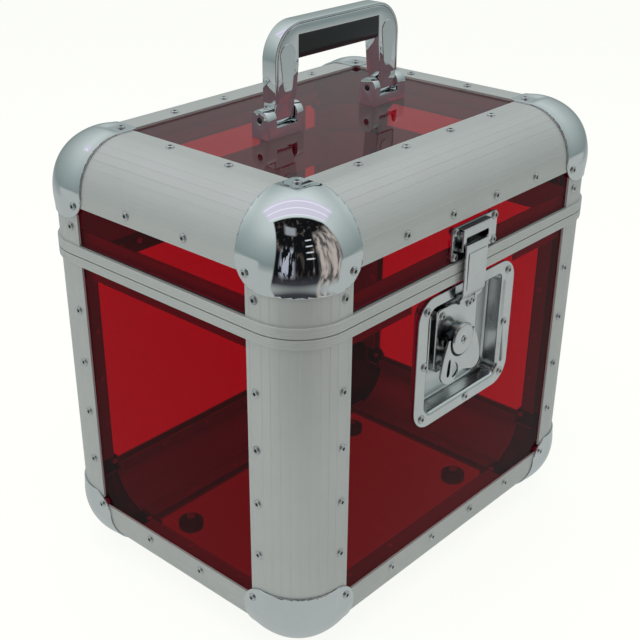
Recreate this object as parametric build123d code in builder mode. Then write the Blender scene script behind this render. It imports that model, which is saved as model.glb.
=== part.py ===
"""A record carrying case: red acrylic panels in aluminium edge profiles, a hinged lid and a handle.

Millimetres. +X runs to the right along the latch face, +Y to the back and +Z up. The origin is at the
middle of the footprint, on the surface that the four feet stand on.
"""

import os
from math import cos, radians, sin, sqrt

from build123d import *

# The outside of the case, without its feet, caps, handle and latch
CASE_WIDTH = 370.0
CASE_DEPTH = 277.0
CASE_HEIGHT = 362.0
LID_HEIGHT = 87.0
FOOT_DROP = 6.0

# Edge profiles: a quarter round between two flanges, with a pocket for the panels' edges
EDGE_RADIUS = 40.0
CURVE_WALL = 1.5
FLANGE_WALL = 1.8
LIP_WALL = 1.2
WEB_WALL = 1.2
LEG_LEVEL = 53.5
LEG_FACE = 47.5
LEG_UPRIGHT = 50.5
LIP_SHORT = 3.5
PROFILE_SETBACK = 54.0

# Panels
PANEL_WALL = 4.0
PANEL_INSET = 36.0

# Closure rims
RIM_HEIGHT = 8.0
RIM_PROUD = 2.0
RIM_WEB = 1.5
TONGUE_HEIGHT = 3.0
TONGUE_WALL = 1.6
TONGUE_SIDE_PLAY = 1.2
TONGUE_TOP_PLAY = 0.6

# Ball corner caps
CAP_REACH = 58.0
CAP_WALL = 1.2
CAP_SEAT = 0.1
BALL_INSET = 44.0
BALL_RADIUS = 47.6
EAR_CREASE = 38.0
EAR_MARGIN = 6.5

# Rivets
RIVET_SHANK = 1.6
RIVET_HEAD = 3.25
RIVET_DOME = 1.5
RIVET_EDGE = 0.6
RIVET_TAIL = 2.6
RIVET_TAIL_HEIGHT = 0.8
RIVET_PLAY = 0.05
DRILL_REACH = 25.0
LEVEL_ROW = 44.8
FACE_ROW = 39.5
UPRIGHT_ROW = 42.3
LONG_PITCH = 53.4
LONG_COUNT = 4
LONG_SHIFT = 1.5
SHORT_PITCH = 60.0
SHORT_COUNT = 2
BASE_ROW_LOW = 90.0
BASE_ROW_HIGH = 47.9
BASE_ROW_COUNT = 4
LID_ROW_RISE = 22.3
CAP_RIVET_ACROSS = 49.0
CAP_RIVET_ALONG = 47.0

# Feet
FOOT_RADIUS = 11.0
FOOT_INSET = 75.0
FOOT_EDGE = 1.5
SCREW_SHANK = 2.0
SCREW_HEAD = 4.0
SCREW_HEAD_HEIGHT = 2.0
FOOT_RECESS = 2.6

# Handle
HANDLE_WIDTH = 141.1
HANDLE_THICK = 13.7
HANDLE_SHIFT = 1.75
HANDLE_TOP = 79.0
HANDLE_CORNER = 27.0
CROSSBAR = 10.0
LEG_TOP_WIDTH = 24.7
LEG_FOOT_WIDTH = 20.2
LEG_FOOT_THICK = 11.2
LEG_FOOT_RISE = 10.5
STRAP_WALL = 2.4
STRAP_GAP = 0.1
GRIP_DROP = 18.5

# Handle brackets and their pins
PIN_HEIGHT = 12.0
PIN_RADIUS = 2.5
PIN_PLAY = 0.05
BRACKET_DEPTH = 16.0
BRACKET_OUTER_EAR = 10.0
BRACKET_INNER_EAR = 7.0
BRACKET_PLAY = 0.4
BRACKET_EAR_RADIUS = 8.0
BRACKET_SCREW_SPACING = 20.0
BRACKET_SCREW_DEPTH = 5.0

# Latch dish
DISH_LEFT = -59.0
DISH_RIGHT = 64.4
DISH_DROP = 12.1
DISH_HEIGHT = 108.9
DISH_CORNER = 18.0
DISH_WALL = 1.5
POCKET_LEFT = -45.0
POCKET_RIGHT = 51.0
POCKET_FOOT = 10.5
POCKET_HEAD = 10.4
POCKET_CORNER = 4.0
POCKET_DEPTH = 16.0
NOTCH_SIDE = 0.8
DISH_RIVET_MARGIN = 9.2
DISH_FOOT_RIVET = 7.5
DISH_FOOT_MARGIN = 5.5
DISH_FIT = 0.1

# Latch mechanism, about the middle of the knob
KNOB_ACROSS = 1.0
KNOB_DROP = 49.9
KNOB_RADIUS = 13.0
KNOB_OUT = -0.5
KNOB_SIDE_OUT = -4.0
KNOB_IN = -10.7
KNOB_TURN = 110.0
SHAFT_RADIUS = 5.0
CRANK_ARM = 6.1
CRANK_RADIUS = 9.5
CRANK_WALL = 0.8
CRANK_PIN = 2.5
CRANK_SLOT_PLAY = 0.6
COVER_OUT = -11.0
COVER_WALL = 1.5
COVER_WIDTH = 52.0
COVER_LEFT = 22.0
COVER_LOW = 26.0
COVER_CLEAR = 2.0
COVER_RIVET_INSET = 6.0
DRAW_OUT = -13.6
DRAW_WALL = 1.8
DRAW_WIDTH = 22.0
DRAW_LOW = 15.0
DRAW_CLIMB = 8.0
DRAW_PLAY = 0.3
GUIDE_LEFT = -35.0
GUIDE_WIDTH = 10.0
GUIDE_FOOT = 30.0
GUIDE_HEAD = 10.0
GUIDE_DEPTH = 8.0
GUIDE_WALL = 1.5
GUIDE_RIVET_INSET = 6.0

# Folding wing
WING_OUT = -2.4
WING_WALL = 1.8
WING_AXIS_OUT = -6.0
WING_CUT = 14.6
WING_LEFT = 17.0
WING_RIGHT = 31.0
WING_LOBE = 33.0
WING_CHEEK = 30.5
WING_SHOULDER = 15.0
WING_LUG = 3.4
WING_PIN = 1.5
WING_EDGE = 3.0
EYE_WIDTH = 8.0
EYE_HEIGHT = 11.0
SPRING_RADIUS = 3.4

# Tongue and keeper
TONGUE_LEFT = -15.0
TONGUE_WIDTH = 27.5
TONGUE_PLATE = 2.0
TONGUE_OUT = 7.2
TONGUE_DROP = 19.0
TONGUE_RISE = 21.5
TONGUE_PIVOT_OUT = 2.0
TONGUE_PIVOT_DROP = 24.5
TONGUE_BARREL = 2.1
TONGUE_PIN = 1.1
TONGUE_LIP = 2.0
EMBOSS_MARGIN = 3.5
EMBOSS_DEPTH = 0.6
KEEPER_LEFT = -24.0
KEEPER_WIDTH = 56.5
KEEPER_RISE = 9.0
KEEPER_HEIGHT = 26.5
KEEPER_WALL = 1.5
KEEPER_CORNER = 3.0
KEEPER_RIVET_INSET = 3.6
BUMP_LEFT = -16.5
BUMP_WIDTH = 36.5
BUMP_FOOT = 7.0
BUMP_HEIGHT = 17.5
BUMP_OUT = 4.2
BUMP_SLOT_LEFT = -12.5
BUMP_SLOT_WIDTH = 28.0
BUMP_SLOT_FOOT = 5.2
BUMP_SLOT_HEIGHT = 5.0

# Rear hinges
HINGE_INSET = 95.0
HINGE_WIDTH = 60.0
HINGE_OUT = 4.8
KNUCKLE_RADIUS = 2.4
HINGE_PIN = 1.1
LEAF_WALL = 1.4
LEAF_REACH = 40.0
LEAF_JOG_START = 9.6
LEAF_JOG_END = 12.5
KNUCKLE_GAP = 0.4
KNUCKLE_SHARE = 20.0
HINGE_RIVET_SPACING = 20.0
HINGE_RIVET_HEIGHT = 28.0

# Levels and half sizes that follow
BOTTOM = FOOT_DROP
TOP = BOTTOM + CASE_HEIGHT
PARTING = TOP - LID_HEIGHT
HALF_WIDTH = CASE_WIDTH / 2
HALF_DEPTH = CASE_DEPTH / 2
PANEL_OUTER = FLANGE_WALL
PANEL_INNER = FLANGE_WALL + PANEL_WALL
LIP_INNER = PANEL_INNER + LIP_WALL
BASE_RIM_LOW = PARTING - RIM_HEIGHT
LID_RIM_HIGH = PARTING + RIM_HEIGHT
BASE_PANEL_TOP = PARTING - RIM_WEB
GROOVE_TOP = PARTING + TONGUE_HEIGHT + TONGUE_TOP_PLAY
LID_PANEL_LOW = GROOVE_TOP + RIM_WEB
TONGUE_MIDDLE = PANEL_OUTER + PANEL_WALL / 2
FRONT = -HALF_DEPTH
DISH_HIGH = PARTING - DISH_DROP
DISH_LOW = DISH_HIGH - DISH_HEIGHT
POCKET_LOW = DISH_LOW + POCKET_FOOT
POCKET_HIGH = DISH_HIGH - POCKET_HEAD
KNOB_HEIGHT = DISH_HIGH - KNOB_DROP
GUIDE_LOW = POCKET_LOW + GUIDE_FOOT
GUIDE_HIGH = POCKET_HIGH - GUIDE_HEAD
TONGUE_LOW = PARTING - TONGUE_DROP
TONGUE_HIGH = PARTING + TONGUE_RISE
TONGUE_PIVOT_HEIGHT = PARTING - TONGUE_PIVOT_DROP
DRAW_BEND = TONGUE_PIVOT_HEIGHT - DRAW_CLIMB
COVER_HIGH = DRAW_BEND - COVER_CLEAR - KNOB_HEIGHT
KEEPER_LOW = PARTING + KEEPER_RISE
KEEPER_HIGH = KEEPER_LOW + KEEPER_HEIGHT
BUMP_LOW = KEEPER_LOW + BUMP_FOOT
BUMP_HIGH = BUMP_LOW + BUMP_HEIGHT
BUMP_SLOT_LOW = BUMP_LOW + BUMP_SLOT_FOOT
BUMP_SLOT_HIGH = BUMP_SLOT_LOW + BUMP_SLOT_HEIGHT
PIN_LEVEL = TOP + PIN_HEIGHT

# The four side faces: name, plane at the middle of the face's foot, and half of the face's width.
# In each plane x runs along the face, y up and z outward.
SIDES = {
    "front": (Plane((0, -HALF_DEPTH, 0), x_dir=(1, 0, 0), z_dir=(0, -1, 0)), HALF_WIDTH),
    "back": (Plane((0, HALF_DEPTH, 0), x_dir=(-1, 0, 0), z_dir=(0, 1, 0)), HALF_WIDTH),
    "left": (Plane((-HALF_WIDTH, 0, 0), x_dir=(0, -1, 0), z_dir=(-1, 0, 0)), HALF_DEPTH),
    "right": (Plane((HALF_WIDTH, 0, 0), x_dir=(0, 1, 0), z_dir=(1, 0, 0)), HALF_DEPTH),
}
TOP_FACE = Plane((0, 0, TOP), x_dir=(1, 0, 0), z_dir=(0, 0, 1))
BOTTOM_FACE = Plane((0, 0, BOTTOM), x_dir=(1, 0, 0), z_dir=(0, 0, -1))
FRONT_FACE = SIDES["front"][0]
BACK_FACE = SIDES["back"][0]
CORNERS = {
    "front_left": (-1, -1),
    "front_right": (1, -1),
    "back_left": (-1, 1),
    "back_right": (1, 1),
}


def write(part, name):
    """Label a finished piece and write it to its own file."""
    part.label = name
    export_step(part, f"parts/{name}.step")


def pattern(first, pitch, count):
    """Evenly spaced positions."""
    return [first + pitch * i for i in range(count)]


def centred(pitch, count):
    """Evenly spaced positions about zero."""
    return pattern(-pitch * (count - 1) / 2, pitch, count)


def on_face(face, points, out=0.0):
    """Locations on a face, at points measured in its plane and raised by out."""
    return [face * Location((x, y, out)) for x, y in points]


def flip(points):
    """Points of a downward face, whose y axis runs the other way."""
    return [(x, -y) for x, y in points]


# --- Rivet positions -------------------------------------------------------------------------------

LONG_ROW = [x + LONG_SHIFT for x in centred(LONG_PITCH, LONG_COUNT)]
SHORT_ROW = centred(SHORT_PITCH, SHORT_COUNT)


def long_edge_points():
    """Rivets on a level face along its two long edges."""
    row = HALF_DEPTH - LEVEL_ROW
    return [(x, y) for x in LONG_ROW for y in (-row, row)]


def short_edge_points():
    """Rivets on a level face along its two short edges."""
    row = HALF_WIDTH - LEVEL_ROW
    return [(x, y) for x in (-row, row) for y in SHORT_ROW]


def face_row_points(side, height):
    """Rivets on a side face along its lower or upper edge."""
    row = LONG_ROW if side in ("front", "back") else SHORT_ROW
    sign = -1 if side == "back" else 1
    return [(sign * x, height) for x in row]


def upright_points(half, heights):
    """Rivets on a side face along its two upright edges."""
    row = half - UPRIGHT_ROW
    return [(x, z) for x in (-row, row) for z in heights]


def cap_points(half, height):
    """Rivets of the two caps' ears on one side face."""
    row = half - CAP_RIVET_ACROSS
    return [(-row, height), (row, height)]


BASE_ROW_SPAN = PARTING - BASE_ROW_HIGH - BOTTOM - BASE_ROW_LOW
BASE_HEIGHTS = pattern(BOTTOM + BASE_ROW_LOW, BASE_ROW_SPAN / (BASE_ROW_COUNT - 1), BASE_ROW_COUNT)
LID_HEIGHTS = [PARTING + LID_ROW_RISE]
LEVEL_CAP_POINTS = [
    (sx * (HALF_WIDTH - CAP_RIVET_ACROSS), sy * (HALF_DEPTH - CAP_RIVET_ACROSS))
    for sx, sy in CORNERS.values()
]
LEVEL_POINTS = long_edge_points() + short_edge_points()
DISH_POINTS = [
    (x, z)
    for x in (DISH_LEFT + DISH_RIVET_MARGIN, DISH_RIGHT - DISH_RIVET_MARGIN)
    for z in (DISH_LOW + DISH_RIVET_MARGIN, (DISH_LOW + DISH_HIGH) / 2, DISH_HIGH - DISH_RIVET_MARGIN)
]
DISH_POINTS.append((DISH_FOOT_RIVET, DISH_LOW + DISH_FOOT_MARGIN))
COVER_POINTS = [
    (KNOB_ACROSS + x, KNOB_HEIGHT + z)
    for x in (COVER_RIVET_INSET - COVER_LEFT, COVER_WIDTH - COVER_LEFT - 2 * COVER_RIVET_INSET)
    for z in (COVER_RIVET_INSET - COVER_LOW, COVER_HIGH - COVER_RIVET_INSET)
]
GUIDE_POINTS = [
    (GUIDE_LEFT + GUIDE_WIDTH / 2, z)
    for z in (GUIDE_LOW + GUIDE_RIVET_INSET, GUIDE_HIGH - GUIDE_RIVET_INSET)
]
HINGE_CENTRES = (HINGE_INSET - HALF_WIDTH, HALF_WIDTH - HINGE_INSET)
HINGE_ACROSS = [x + dx for x in HINGE_CENTRES for dx in centred(HINGE_RIVET_SPACING, 3)]
HINGE_BASE_POINTS = [(x, PARTING - HINGE_RIVET_HEIGHT) for x in HINGE_ACROSS]
HINGE_LID_POINTS = [(x, PARTING + HINGE_RIVET_HEIGHT) for x in HINGE_ACROSS]
KEEPER_POINTS = [
    (x, z)
    for x in (KEEPER_LEFT + KEEPER_RIVET_INSET, KEEPER_LEFT + KEEPER_WIDTH - KEEPER_RIVET_INSET)
    for z in (KEEPER_LOW + KEEPER_RIVET_INSET, KEEPER_HIGH - KEEPER_RIVET_INSET)
]


def drill(locations):
    """Rivet holes through everything under the given places of the block being built."""
    with Locations(*locations):
        Cylinder(RIVET_SHANK + RIVET_PLAY, 2 * DRILL_REACH, mode=Mode.SUBTRACT)


# --- Edge profiles ---------------------------------------------------------------------------------


def edge_section(leg_x, leg_y):
    """Section of an edge profile, with the corner of the two face planes at the origin."""
    with BuildSketch(mode=Mode.PRIVATE) as section:
        for leg, turned in ((leg_x, False), (leg_y, True)):
            flange = (EDGE_RADIUS, 0.0, leg, FLANGE_WALL)
            web = (PANEL_INSET - WEB_WALL, FLANGE_WALL, PANEL_INSET, LIP_INNER)
            lip = (PANEL_INSET - WEB_WALL, PANEL_INNER, leg - LIP_SHORT, LIP_INNER)
            for u0, v0, u1, v1 in (flange, web, lip):
                x0, y0, x1, y1 = (v0, u0, v1, u1) if turned else (u0, v0, u1, v1)
                with Locations(((x0 + x1) / 2, (y0 + y1) / 2)):
                    Rectangle(x1 - x0, y1 - y0)
        with BuildLine() as wall:
            inner = EDGE_RADIUS - CURVE_WALL
            CenterArc((EDGE_RADIUS, EDGE_RADIUS), EDGE_RADIUS, 180, 90)
            Line((EDGE_RADIUS, 0), (EDGE_RADIUS, EDGE_RADIUS - inner))
            CenterArc((EDGE_RADIUS, EDGE_RADIUS), inner, 180, 90)
            Line((EDGE_RADIUS - inner, EDGE_RADIUS), (0, EDGE_RADIUS))
        make_face()
    return section.sketch


def edge_profile(origin, level_dir, face_dir, legs, length, places):
    """An edge profile of a given length about the middle of its edge, drilled at the given places."""
    along = Vector(level_dir).cross(Vector(face_dir))
    with BuildPart() as profile:
        with BuildSketch(Plane(origin, x_dir=level_dir, z_dir=along)):
            add(edge_section(*legs))
        extrude(amount=length / 2, both=True)
        drill(places)
    return profile.part


LEVEL_PLACES = {
    "bottom": on_face(BOTTOM_FACE, flip(LEVEL_POINTS)),
    "top": on_face(TOP_FACE, LEVEL_POINTS),
}
LEVEL_CAPS = {
    "bottom": on_face(BOTTOM_FACE, flip(LEVEL_CAP_POINTS)),
    "top": on_face(TOP_FACE, LEVEL_CAP_POINTS),
}
BASE_SIDE_PLACES = {}
LID_SIDE_PLACES = {}
BASE_CAP_PLACES = {}
LID_CAP_PLACES = {}
for side, (face, half) in SIDES.items():
    base_row = face_row_points(side, BOTTOM + FACE_ROW)
    lid_row = face_row_points(side, TOP - FACE_ROW)
    BASE_SIDE_PLACES[side] = on_face(face, base_row + upright_points(half, BASE_HEIGHTS))
    LID_SIDE_PLACES[side] = on_face(face, lid_row + upright_points(half, LID_HEIGHTS))
    BASE_CAP_PLACES[side] = on_face(face, cap_points(half, BOTTOM + CAP_RIVET_ALONG))
    LID_CAP_PLACES[side] = on_face(face, cap_points(half, TOP - CAP_RIVET_ALONG))
DISH_PLACES = on_face(FRONT_FACE, DISH_POINTS)
COVER_PLACES = on_face(FRONT_FACE, COVER_POINTS)
GUIDE_PLACES = on_face(FRONT_FACE, GUIDE_POINTS)
KEEPER_PLACES = on_face(FRONT_FACE, KEEPER_POINTS)
HINGE_BASE_PLACES = on_face(BACK_FACE, HINGE_BASE_POINTS)
HINGE_LID_PLACES = on_face(BACK_FACE, HINGE_LID_POINTS)

LEVEL_EDGES = {
    "front": ((0, -HALF_DEPTH), (0, 1, 0), CASE_WIDTH),
    "back": ((0, HALF_DEPTH), (0, -1, 0), CASE_WIDTH),
    "left": ((-HALF_WIDTH, 0), (1, 0, 0), CASE_DEPTH),
    "right": ((HALF_WIDTH, 0), (-1, 0, 0), CASE_DEPTH),
}


def level_edge_profiles(level, height, upward, side_places, prefix):
    """The four profiles round the bottom or the top face."""
    for side, ((x, y), inward, length) in LEVEL_EDGES.items():
        places = LEVEL_PLACES[level] + side_places[side]
        length -= 2 * PROFILE_SETBACK
        legs = (LEG_LEVEL, LEG_FACE)
        part = edge_profile((x, y, height), inward, (0, 0, upward), legs, length, places)
        write(part, f"{prefix}_profile_{side}")


def uprights(low, high, side_places):
    """The four upright profiles between two heights, by corner."""
    parts = {}
    for corner, (sx, sy) in CORNERS.items():
        x_side = "left" if sx < 0 else "right"
        y_side = "front" if sy < 0 else "back"
        parts[corner] = edge_profile(
            (sx * HALF_WIDTH, sy * HALF_DEPTH, (low + high) / 2),
            (-sx, 0, 0),
            (0, -sy, 0),
            (LEG_UPRIGHT, LEG_UPRIGHT),
            high - low,
            side_places[x_side] + side_places[y_side],
        )
    return parts


# --- Panels ----------------------------------------------------------------------------------------


def block(plane, across, along, out, mode=Mode.ADD):
    """A box on a plane, given as its spans across, along and out of it."""
    middle = Location(tuple((low + high) / 2 for low, high in (across, along, out)))
    with Locations(plane * middle):
        Box(across[1] - across[0], along[1] - along[0], out[1] - out[0], mode=mode)


PANEL_SPAN = (-PANEL_INNER, -PANEL_OUTER)


def level_panel(face, places):
    """The bottom or the top panel."""
    half_x = HALF_WIDTH - PANEL_INSET
    half_y = HALF_DEPTH - PANEL_INSET
    with BuildPart() as panel:
        block(face, (-half_x, half_x), (-half_y, half_y), PANEL_SPAN)
        drill(places)
    return panel.part


def side_panel(side, low, high, places):
    """A panel of a side face between two heights."""
    face, half = SIDES[side]
    half -= PANEL_INSET
    with BuildPart() as panel:
        block(face, (-half, half), (low, high), PANEL_SPAN)
        drill(places)
        if side == "front" and low < POCKET_LOW:
            deep = (-CASE_DEPTH / 4, 0.0)
            block(FRONT_FACE, *dish_opening(DISH_WALL + DISH_FIT), deep, mode=Mode.SUBTRACT)
            block(FRONT_FACE, *notch_opening(DISH_WALL + DISH_FIT), deep, mode=Mode.SUBTRACT)
    return panel.part


def dish_opening(grow):
    """Spans of the dish's pocket, grown on every side."""
    return (POCKET_LEFT - grow, POCKET_RIGHT + grow), (POCKET_LOW - grow, POCKET_HIGH + grow)


def notch_opening(grow):
    """Spans of the pocket's slot above it, where the drawbolt and the tongue run."""
    left = TONGUE_LEFT - NOTCH_SIDE
    right = TONGUE_LEFT + TONGUE_WIDTH + NOTCH_SIDE
    return (left - grow, right + grow), (POCKET_HIGH - POCKET_CORNER, DISH_HIGH - DISH_WALL + grow)


# --- Closure rims ----------------------------------------------------------------------------------


def ring(height, inner, outer, amount, mode=Mode.ADD):
    """A rounded ring round the case between two distances in from the faces, extruded upwards."""
    with BuildSketch(Plane.XY.offset(height)) as section:
        for inset, sketch_mode in ((outer, Mode.ADD), (inner, Mode.SUBTRACT)):
            RectangleRounded(
                CASE_WIDTH - 2 * inset, CASE_DEPTH - 2 * inset, EDGE_RADIUS - inset, mode=sketch_mode
            )
    extrude(section.sketch, amount=amount, mode=mode)


def panel_slots(low, high):
    """Slots of a rim for the edges of the four side panels."""
    for face, half in SIDES.values():
        half -= PANEL_INSET
        block(face, (-half, half), (low, high), PANEL_SPAN, mode=Mode.SUBTRACT)


def make_rims():
    """The base rim with its tongue, and the lid rim with its groove."""
    with BuildPart() as base_rim:
        ring(BASE_RIM_LOW, LIP_INNER, -RIM_PROUD, RIM_HEIGHT)
        panel_slots(BASE_RIM_LOW, BASE_PANEL_TOP)
        ring(
            PARTING, TONGUE_MIDDLE + TONGUE_WALL / 2, TONGUE_MIDDLE - TONGUE_WALL / 2, TONGUE_HEIGHT
        )
    write(base_rim.part, "base_rim")

    groove = TONGUE_WALL / 2 + TONGUE_SIDE_PLAY
    with BuildPart() as lid_rim:
        ring(PARTING, LIP_INNER, -RIM_PROUD, RIM_HEIGHT)
        ring(
            PARTING, TONGUE_MIDDLE + groove, TONGUE_MIDDLE - groove, GROOVE_TOP - PARTING,
            mode=Mode.SUBTRACT,
        )
        panel_slots(LID_PANEL_LOW, LID_RIM_HIGH)
    write(lid_rim.part, "lid_rim")


# --- Ball corner caps ------------------------------------------------------------------------------

CAP_CORNER = Vector(-HALF_WIDTH, -HALF_DEPTH, BOTTOM)
CAP_PLANE = Plane(CAP_CORNER)
EAR_SUM_FACE = LEG_FACE + LEG_UPRIGHT + EAR_MARGIN
EAR_SUM_LEVEL = 2 * LEG_LEVEL + EAR_MARGIN


def lowest_edges(corner):
    """The three edges that meet at the lowest corner of a block."""
    axes = (Axis.X, Axis.Y, Axis.Z)
    found = []
    for axis in axes:
        first, second = [other for other in axes if other != axis]
        edges = corner.edges().filter_by(axis).group_by(first)[0]
        found.append(edges.group_by(second)[0][0])
    return found


def ear_rounding(ear_sum):
    """Radius that rounds an ear so that its tip lies on a given sum of its two distances."""
    return (2 * CAP_REACH - ear_sum) / (2 - sqrt(2))


def trim_ear(plane, ear_sum):
    """Round the outer corner of the cap's ear on one face."""
    radius = ear_rounding(ear_sum)
    with BuildSketch(plane) as waste:
        with Locations((CAP_REACH, CAP_REACH)):
            Rectangle(2 * radius, 2 * radius)
        with Locations((CAP_REACH - radius, CAP_REACH - radius)):
            Circle(radius, mode=Mode.SUBTRACT)
    extrude(waste.sketch, amount=2 * (CAP_SEAT + CAP_WALL), both=True, mode=Mode.SUBTRACT)


def corner_block(clear, reach):
    """The case's own corner grown by a clearance, out to a reach from the three face planes."""
    span = (-clear, reach)
    with BuildPart() as corner:
        block(CAP_PLANE, span, span, span)
        fillet(lowest_edges(corner), EDGE_RADIUS + clear)
    return corner.part


def ball(radius, flat):
    """The cap's ball, cut flat at a level over the three ears and at the cap's reach."""
    with BuildPart() as sphere:
        with Locations(CAP_PLANE * Location((BALL_INSET,) * 3)):
            Sphere(radius)
        span = (BALL_INSET - BALL_RADIUS, CAP_REACH)
        block(CAP_PLANE, span, span, span, mode=Mode.INTERSECT)
        crease = (EAR_CREASE, 2 * BALL_RADIUS)
        above = (-BALL_RADIUS, -flat)
        block(CAP_PLANE, crease, crease, above, mode=Mode.SUBTRACT)
        block(CAP_PLANE, crease, above, crease, mode=Mode.SUBTRACT)
        block(CAP_PLANE, above, crease, crease, mode=Mode.SUBTRACT)
    return sphere.part


def make_caps():
    """Eight caps, all mirrored from the one at the bottom front left."""
    outer = CAP_SEAT + CAP_WALL
    with BuildPart() as cap:
        add(corner_block(outer, CAP_REACH))
        add(ball(BALL_RADIUS, outer))
        add(corner_block(CAP_SEAT, CAP_REACH + outer), mode=Mode.SUBTRACT)
        add(ball(BALL_RADIUS - CAP_WALL, CAP_SEAT), mode=Mode.SUBTRACT)
        trim_ear(Plane(CAP_CORNER, x_dir=(1, 0, 0), z_dir=(0, 0, 1)), EAR_SUM_LEVEL)
        trim_ear(Plane(CAP_CORNER, x_dir=(1, 0, 0), z_dir=(0, -1, 0)), EAR_SUM_FACE)
        trim_ear(Plane(CAP_CORNER, x_dir=(0, 1, 0), z_dir=(1, 0, 0)), EAR_SUM_FACE)
        drill(LEVEL_CAPS["bottom"] + BASE_CAP_PLACES["front"] + BASE_CAP_PLACES["left"])
    middle = Plane.XY.offset(BOTTOM + CASE_HEIGHT / 2)
    for corner, (sx, sy) in CORNERS.items():
        part = cap.part
        if sx > 0:
            part = mirror(part, about=Plane.YZ)
        if sy > 0:
            part = mirror(part, about=Plane.XZ)
        write(part, f"base_cap_{corner}")
        write(mirror(part, about=middle), f"lid_cap_{corner}")


# --- Rivets ----------------------------------------------------------------------------------------


def rivet(head_out, tail_out):
    """A rivet along Z, with its head seated at one level and its tail at another below the face."""
    with BuildPart() as body:
        with Locations((0, 0, head_out)):
            Cylinder(RIVET_HEAD, RIVET_DOME, align=(Align.CENTER, Align.CENTER, Align.MIN))
        fillet(body.edges().group_by(Axis.Z)[-1], RIVET_EDGE)
        with Locations((0, 0, tail_out)):
            Cylinder(RIVET_TAIL, RIVET_TAIL_HEIGHT, align=(Align.CENTER, Align.CENTER, Align.MAX))
            Cylinder(RIVET_SHANK, head_out - tail_out, align=(Align.CENTER, Align.CENTER, Align.MIN))
    return body.part


def make_rivets():
    """The rivets of the base and those of the lid, each seated on what it holds."""
    behind_panel = -PANEL_INNER
    behind_dish = -POCKET_DEPTH - DISH_WALL
    stack = rivet(0.0, -LIP_INNER)
    cap_rivet = rivet(CAP_SEAT + CAP_WALL, behind_panel)
    leaf_rivet = rivet(LEAF_WALL - PANEL_OUTER, behind_panel)
    base_groups = [
        (stack, LEVEL_PLACES["bottom"] + sum(BASE_SIDE_PLACES.values(), [])),
        (cap_rivet, LEVEL_CAPS["bottom"] + sum(BASE_CAP_PLACES.values(), [])),
        (leaf_rivet, HINGE_BASE_PLACES),
        (rivet(DISH_WALL - PANEL_OUTER, behind_panel), DISH_PLACES),
        (rivet(COVER_OUT, behind_dish), COVER_PLACES),
        (rivet(GUIDE_WALL - POCKET_DEPTH, behind_dish), GUIDE_PLACES),
    ]
    lid_groups = [
        (stack, LEVEL_PLACES["top"] + sum(LID_SIDE_PLACES.values(), [])),
        (cap_rivet, LEVEL_CAPS["top"] + sum(LID_CAP_PLACES.values(), [])),
        (leaf_rivet, HINGE_LID_PLACES),
        (rivet(KEEPER_WALL - PANEL_OUTER, behind_panel), KEEPER_PLACES),
    ]
    for name, groups in (("base_rivets", base_groups), ("lid_rivets", lid_groups)):
        with BuildPart() as rivets:
            for part, places in groups:
                with Locations(*places):
                    add(part, clean=False)
        write(rivets.part, name)


# --- Feet ------------------------------------------------------------------------------------------

FOOT_PLACES = [
    (sx * (HALF_WIDTH - FOOT_INSET), sy * (HALF_DEPTH - FOOT_INSET)) for sx, sy in CORNERS.values()
]
FOOT_HEIGHT = BOTTOM + PANEL_OUTER
UP = (Align.CENTER, Align.CENTER, Align.MIN)
DOWN = (Align.CENTER, Align.CENTER, Align.MAX)


def make_feet():
    """Four rubber feet, each held by a screw with a nut inside the case."""
    with BuildPart() as foot:
        Cylinder(FOOT_RADIUS, FOOT_HEIGHT, align=UP)
        fillet(foot.edges().group_by(Axis.Z)[0], FOOT_EDGE)
        Cylinder(SCREW_HEAD + FOOT_EDGE, FOOT_RECESS, align=UP, mode=Mode.SUBTRACT)
        Cylinder(SCREW_SHANK + RIVET_PLAY, FOOT_HEIGHT, align=UP, mode=Mode.SUBTRACT)
    inside = BOTTOM + PANEL_INNER
    with BuildPart() as screw:
        with Locations((0, 0, FOOT_RECESS)):
            Cylinder(SCREW_HEAD, SCREW_HEAD_HEIGHT, align=DOWN)
            Cylinder(SCREW_SHANK, inside - FOOT_RECESS, align=UP)
        with Locations((0, 0, inside)):
            Cylinder(SCREW_HEAD, SCREW_HEAD_HEIGHT, align=UP)
    for name, part in (("feet", foot.part), ("foot_screws", screw.part)):
        with BuildPart() as group:
            with Locations(*FOOT_PLACES):
                add(part)
        write(group.part, name)


def make_base():
    """The fixed panels and profiles of the base."""
    level_edge_profiles("bottom", BOTTOM, 1, BASE_SIDE_PLACES, "base")
    for corner, part in uprights(BOTTOM + PROFILE_SETBACK, BASE_RIM_LOW, BASE_SIDE_PLACES).items():
        write(part, f"base_upright_{corner}")
    with BuildPart() as bottom:
        add(level_panel(BOTTOM_FACE, LEVEL_PLACES["bottom"] + LEVEL_CAPS["bottom"]))
        with Locations(*[(x, y, BOTTOM) for x, y in FOOT_PLACES]):
            Cylinder(SCREW_SHANK + RIVET_PLAY, 4 * LIP_INNER, mode=Mode.SUBTRACT)
    write(bottom.part, "base_panel_bottom")
    extra = {"front": DISH_PLACES, "back": HINGE_BASE_PLACES}
    for side in SIDES:
        places = BASE_SIDE_PLACES[side] + BASE_CAP_PLACES[side] + extra.get(side, [])
        panel = side_panel(side, BOTTOM + PANEL_INSET, BASE_PANEL_TOP, places)
        write(panel, f"base_panel_{side}")


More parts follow.
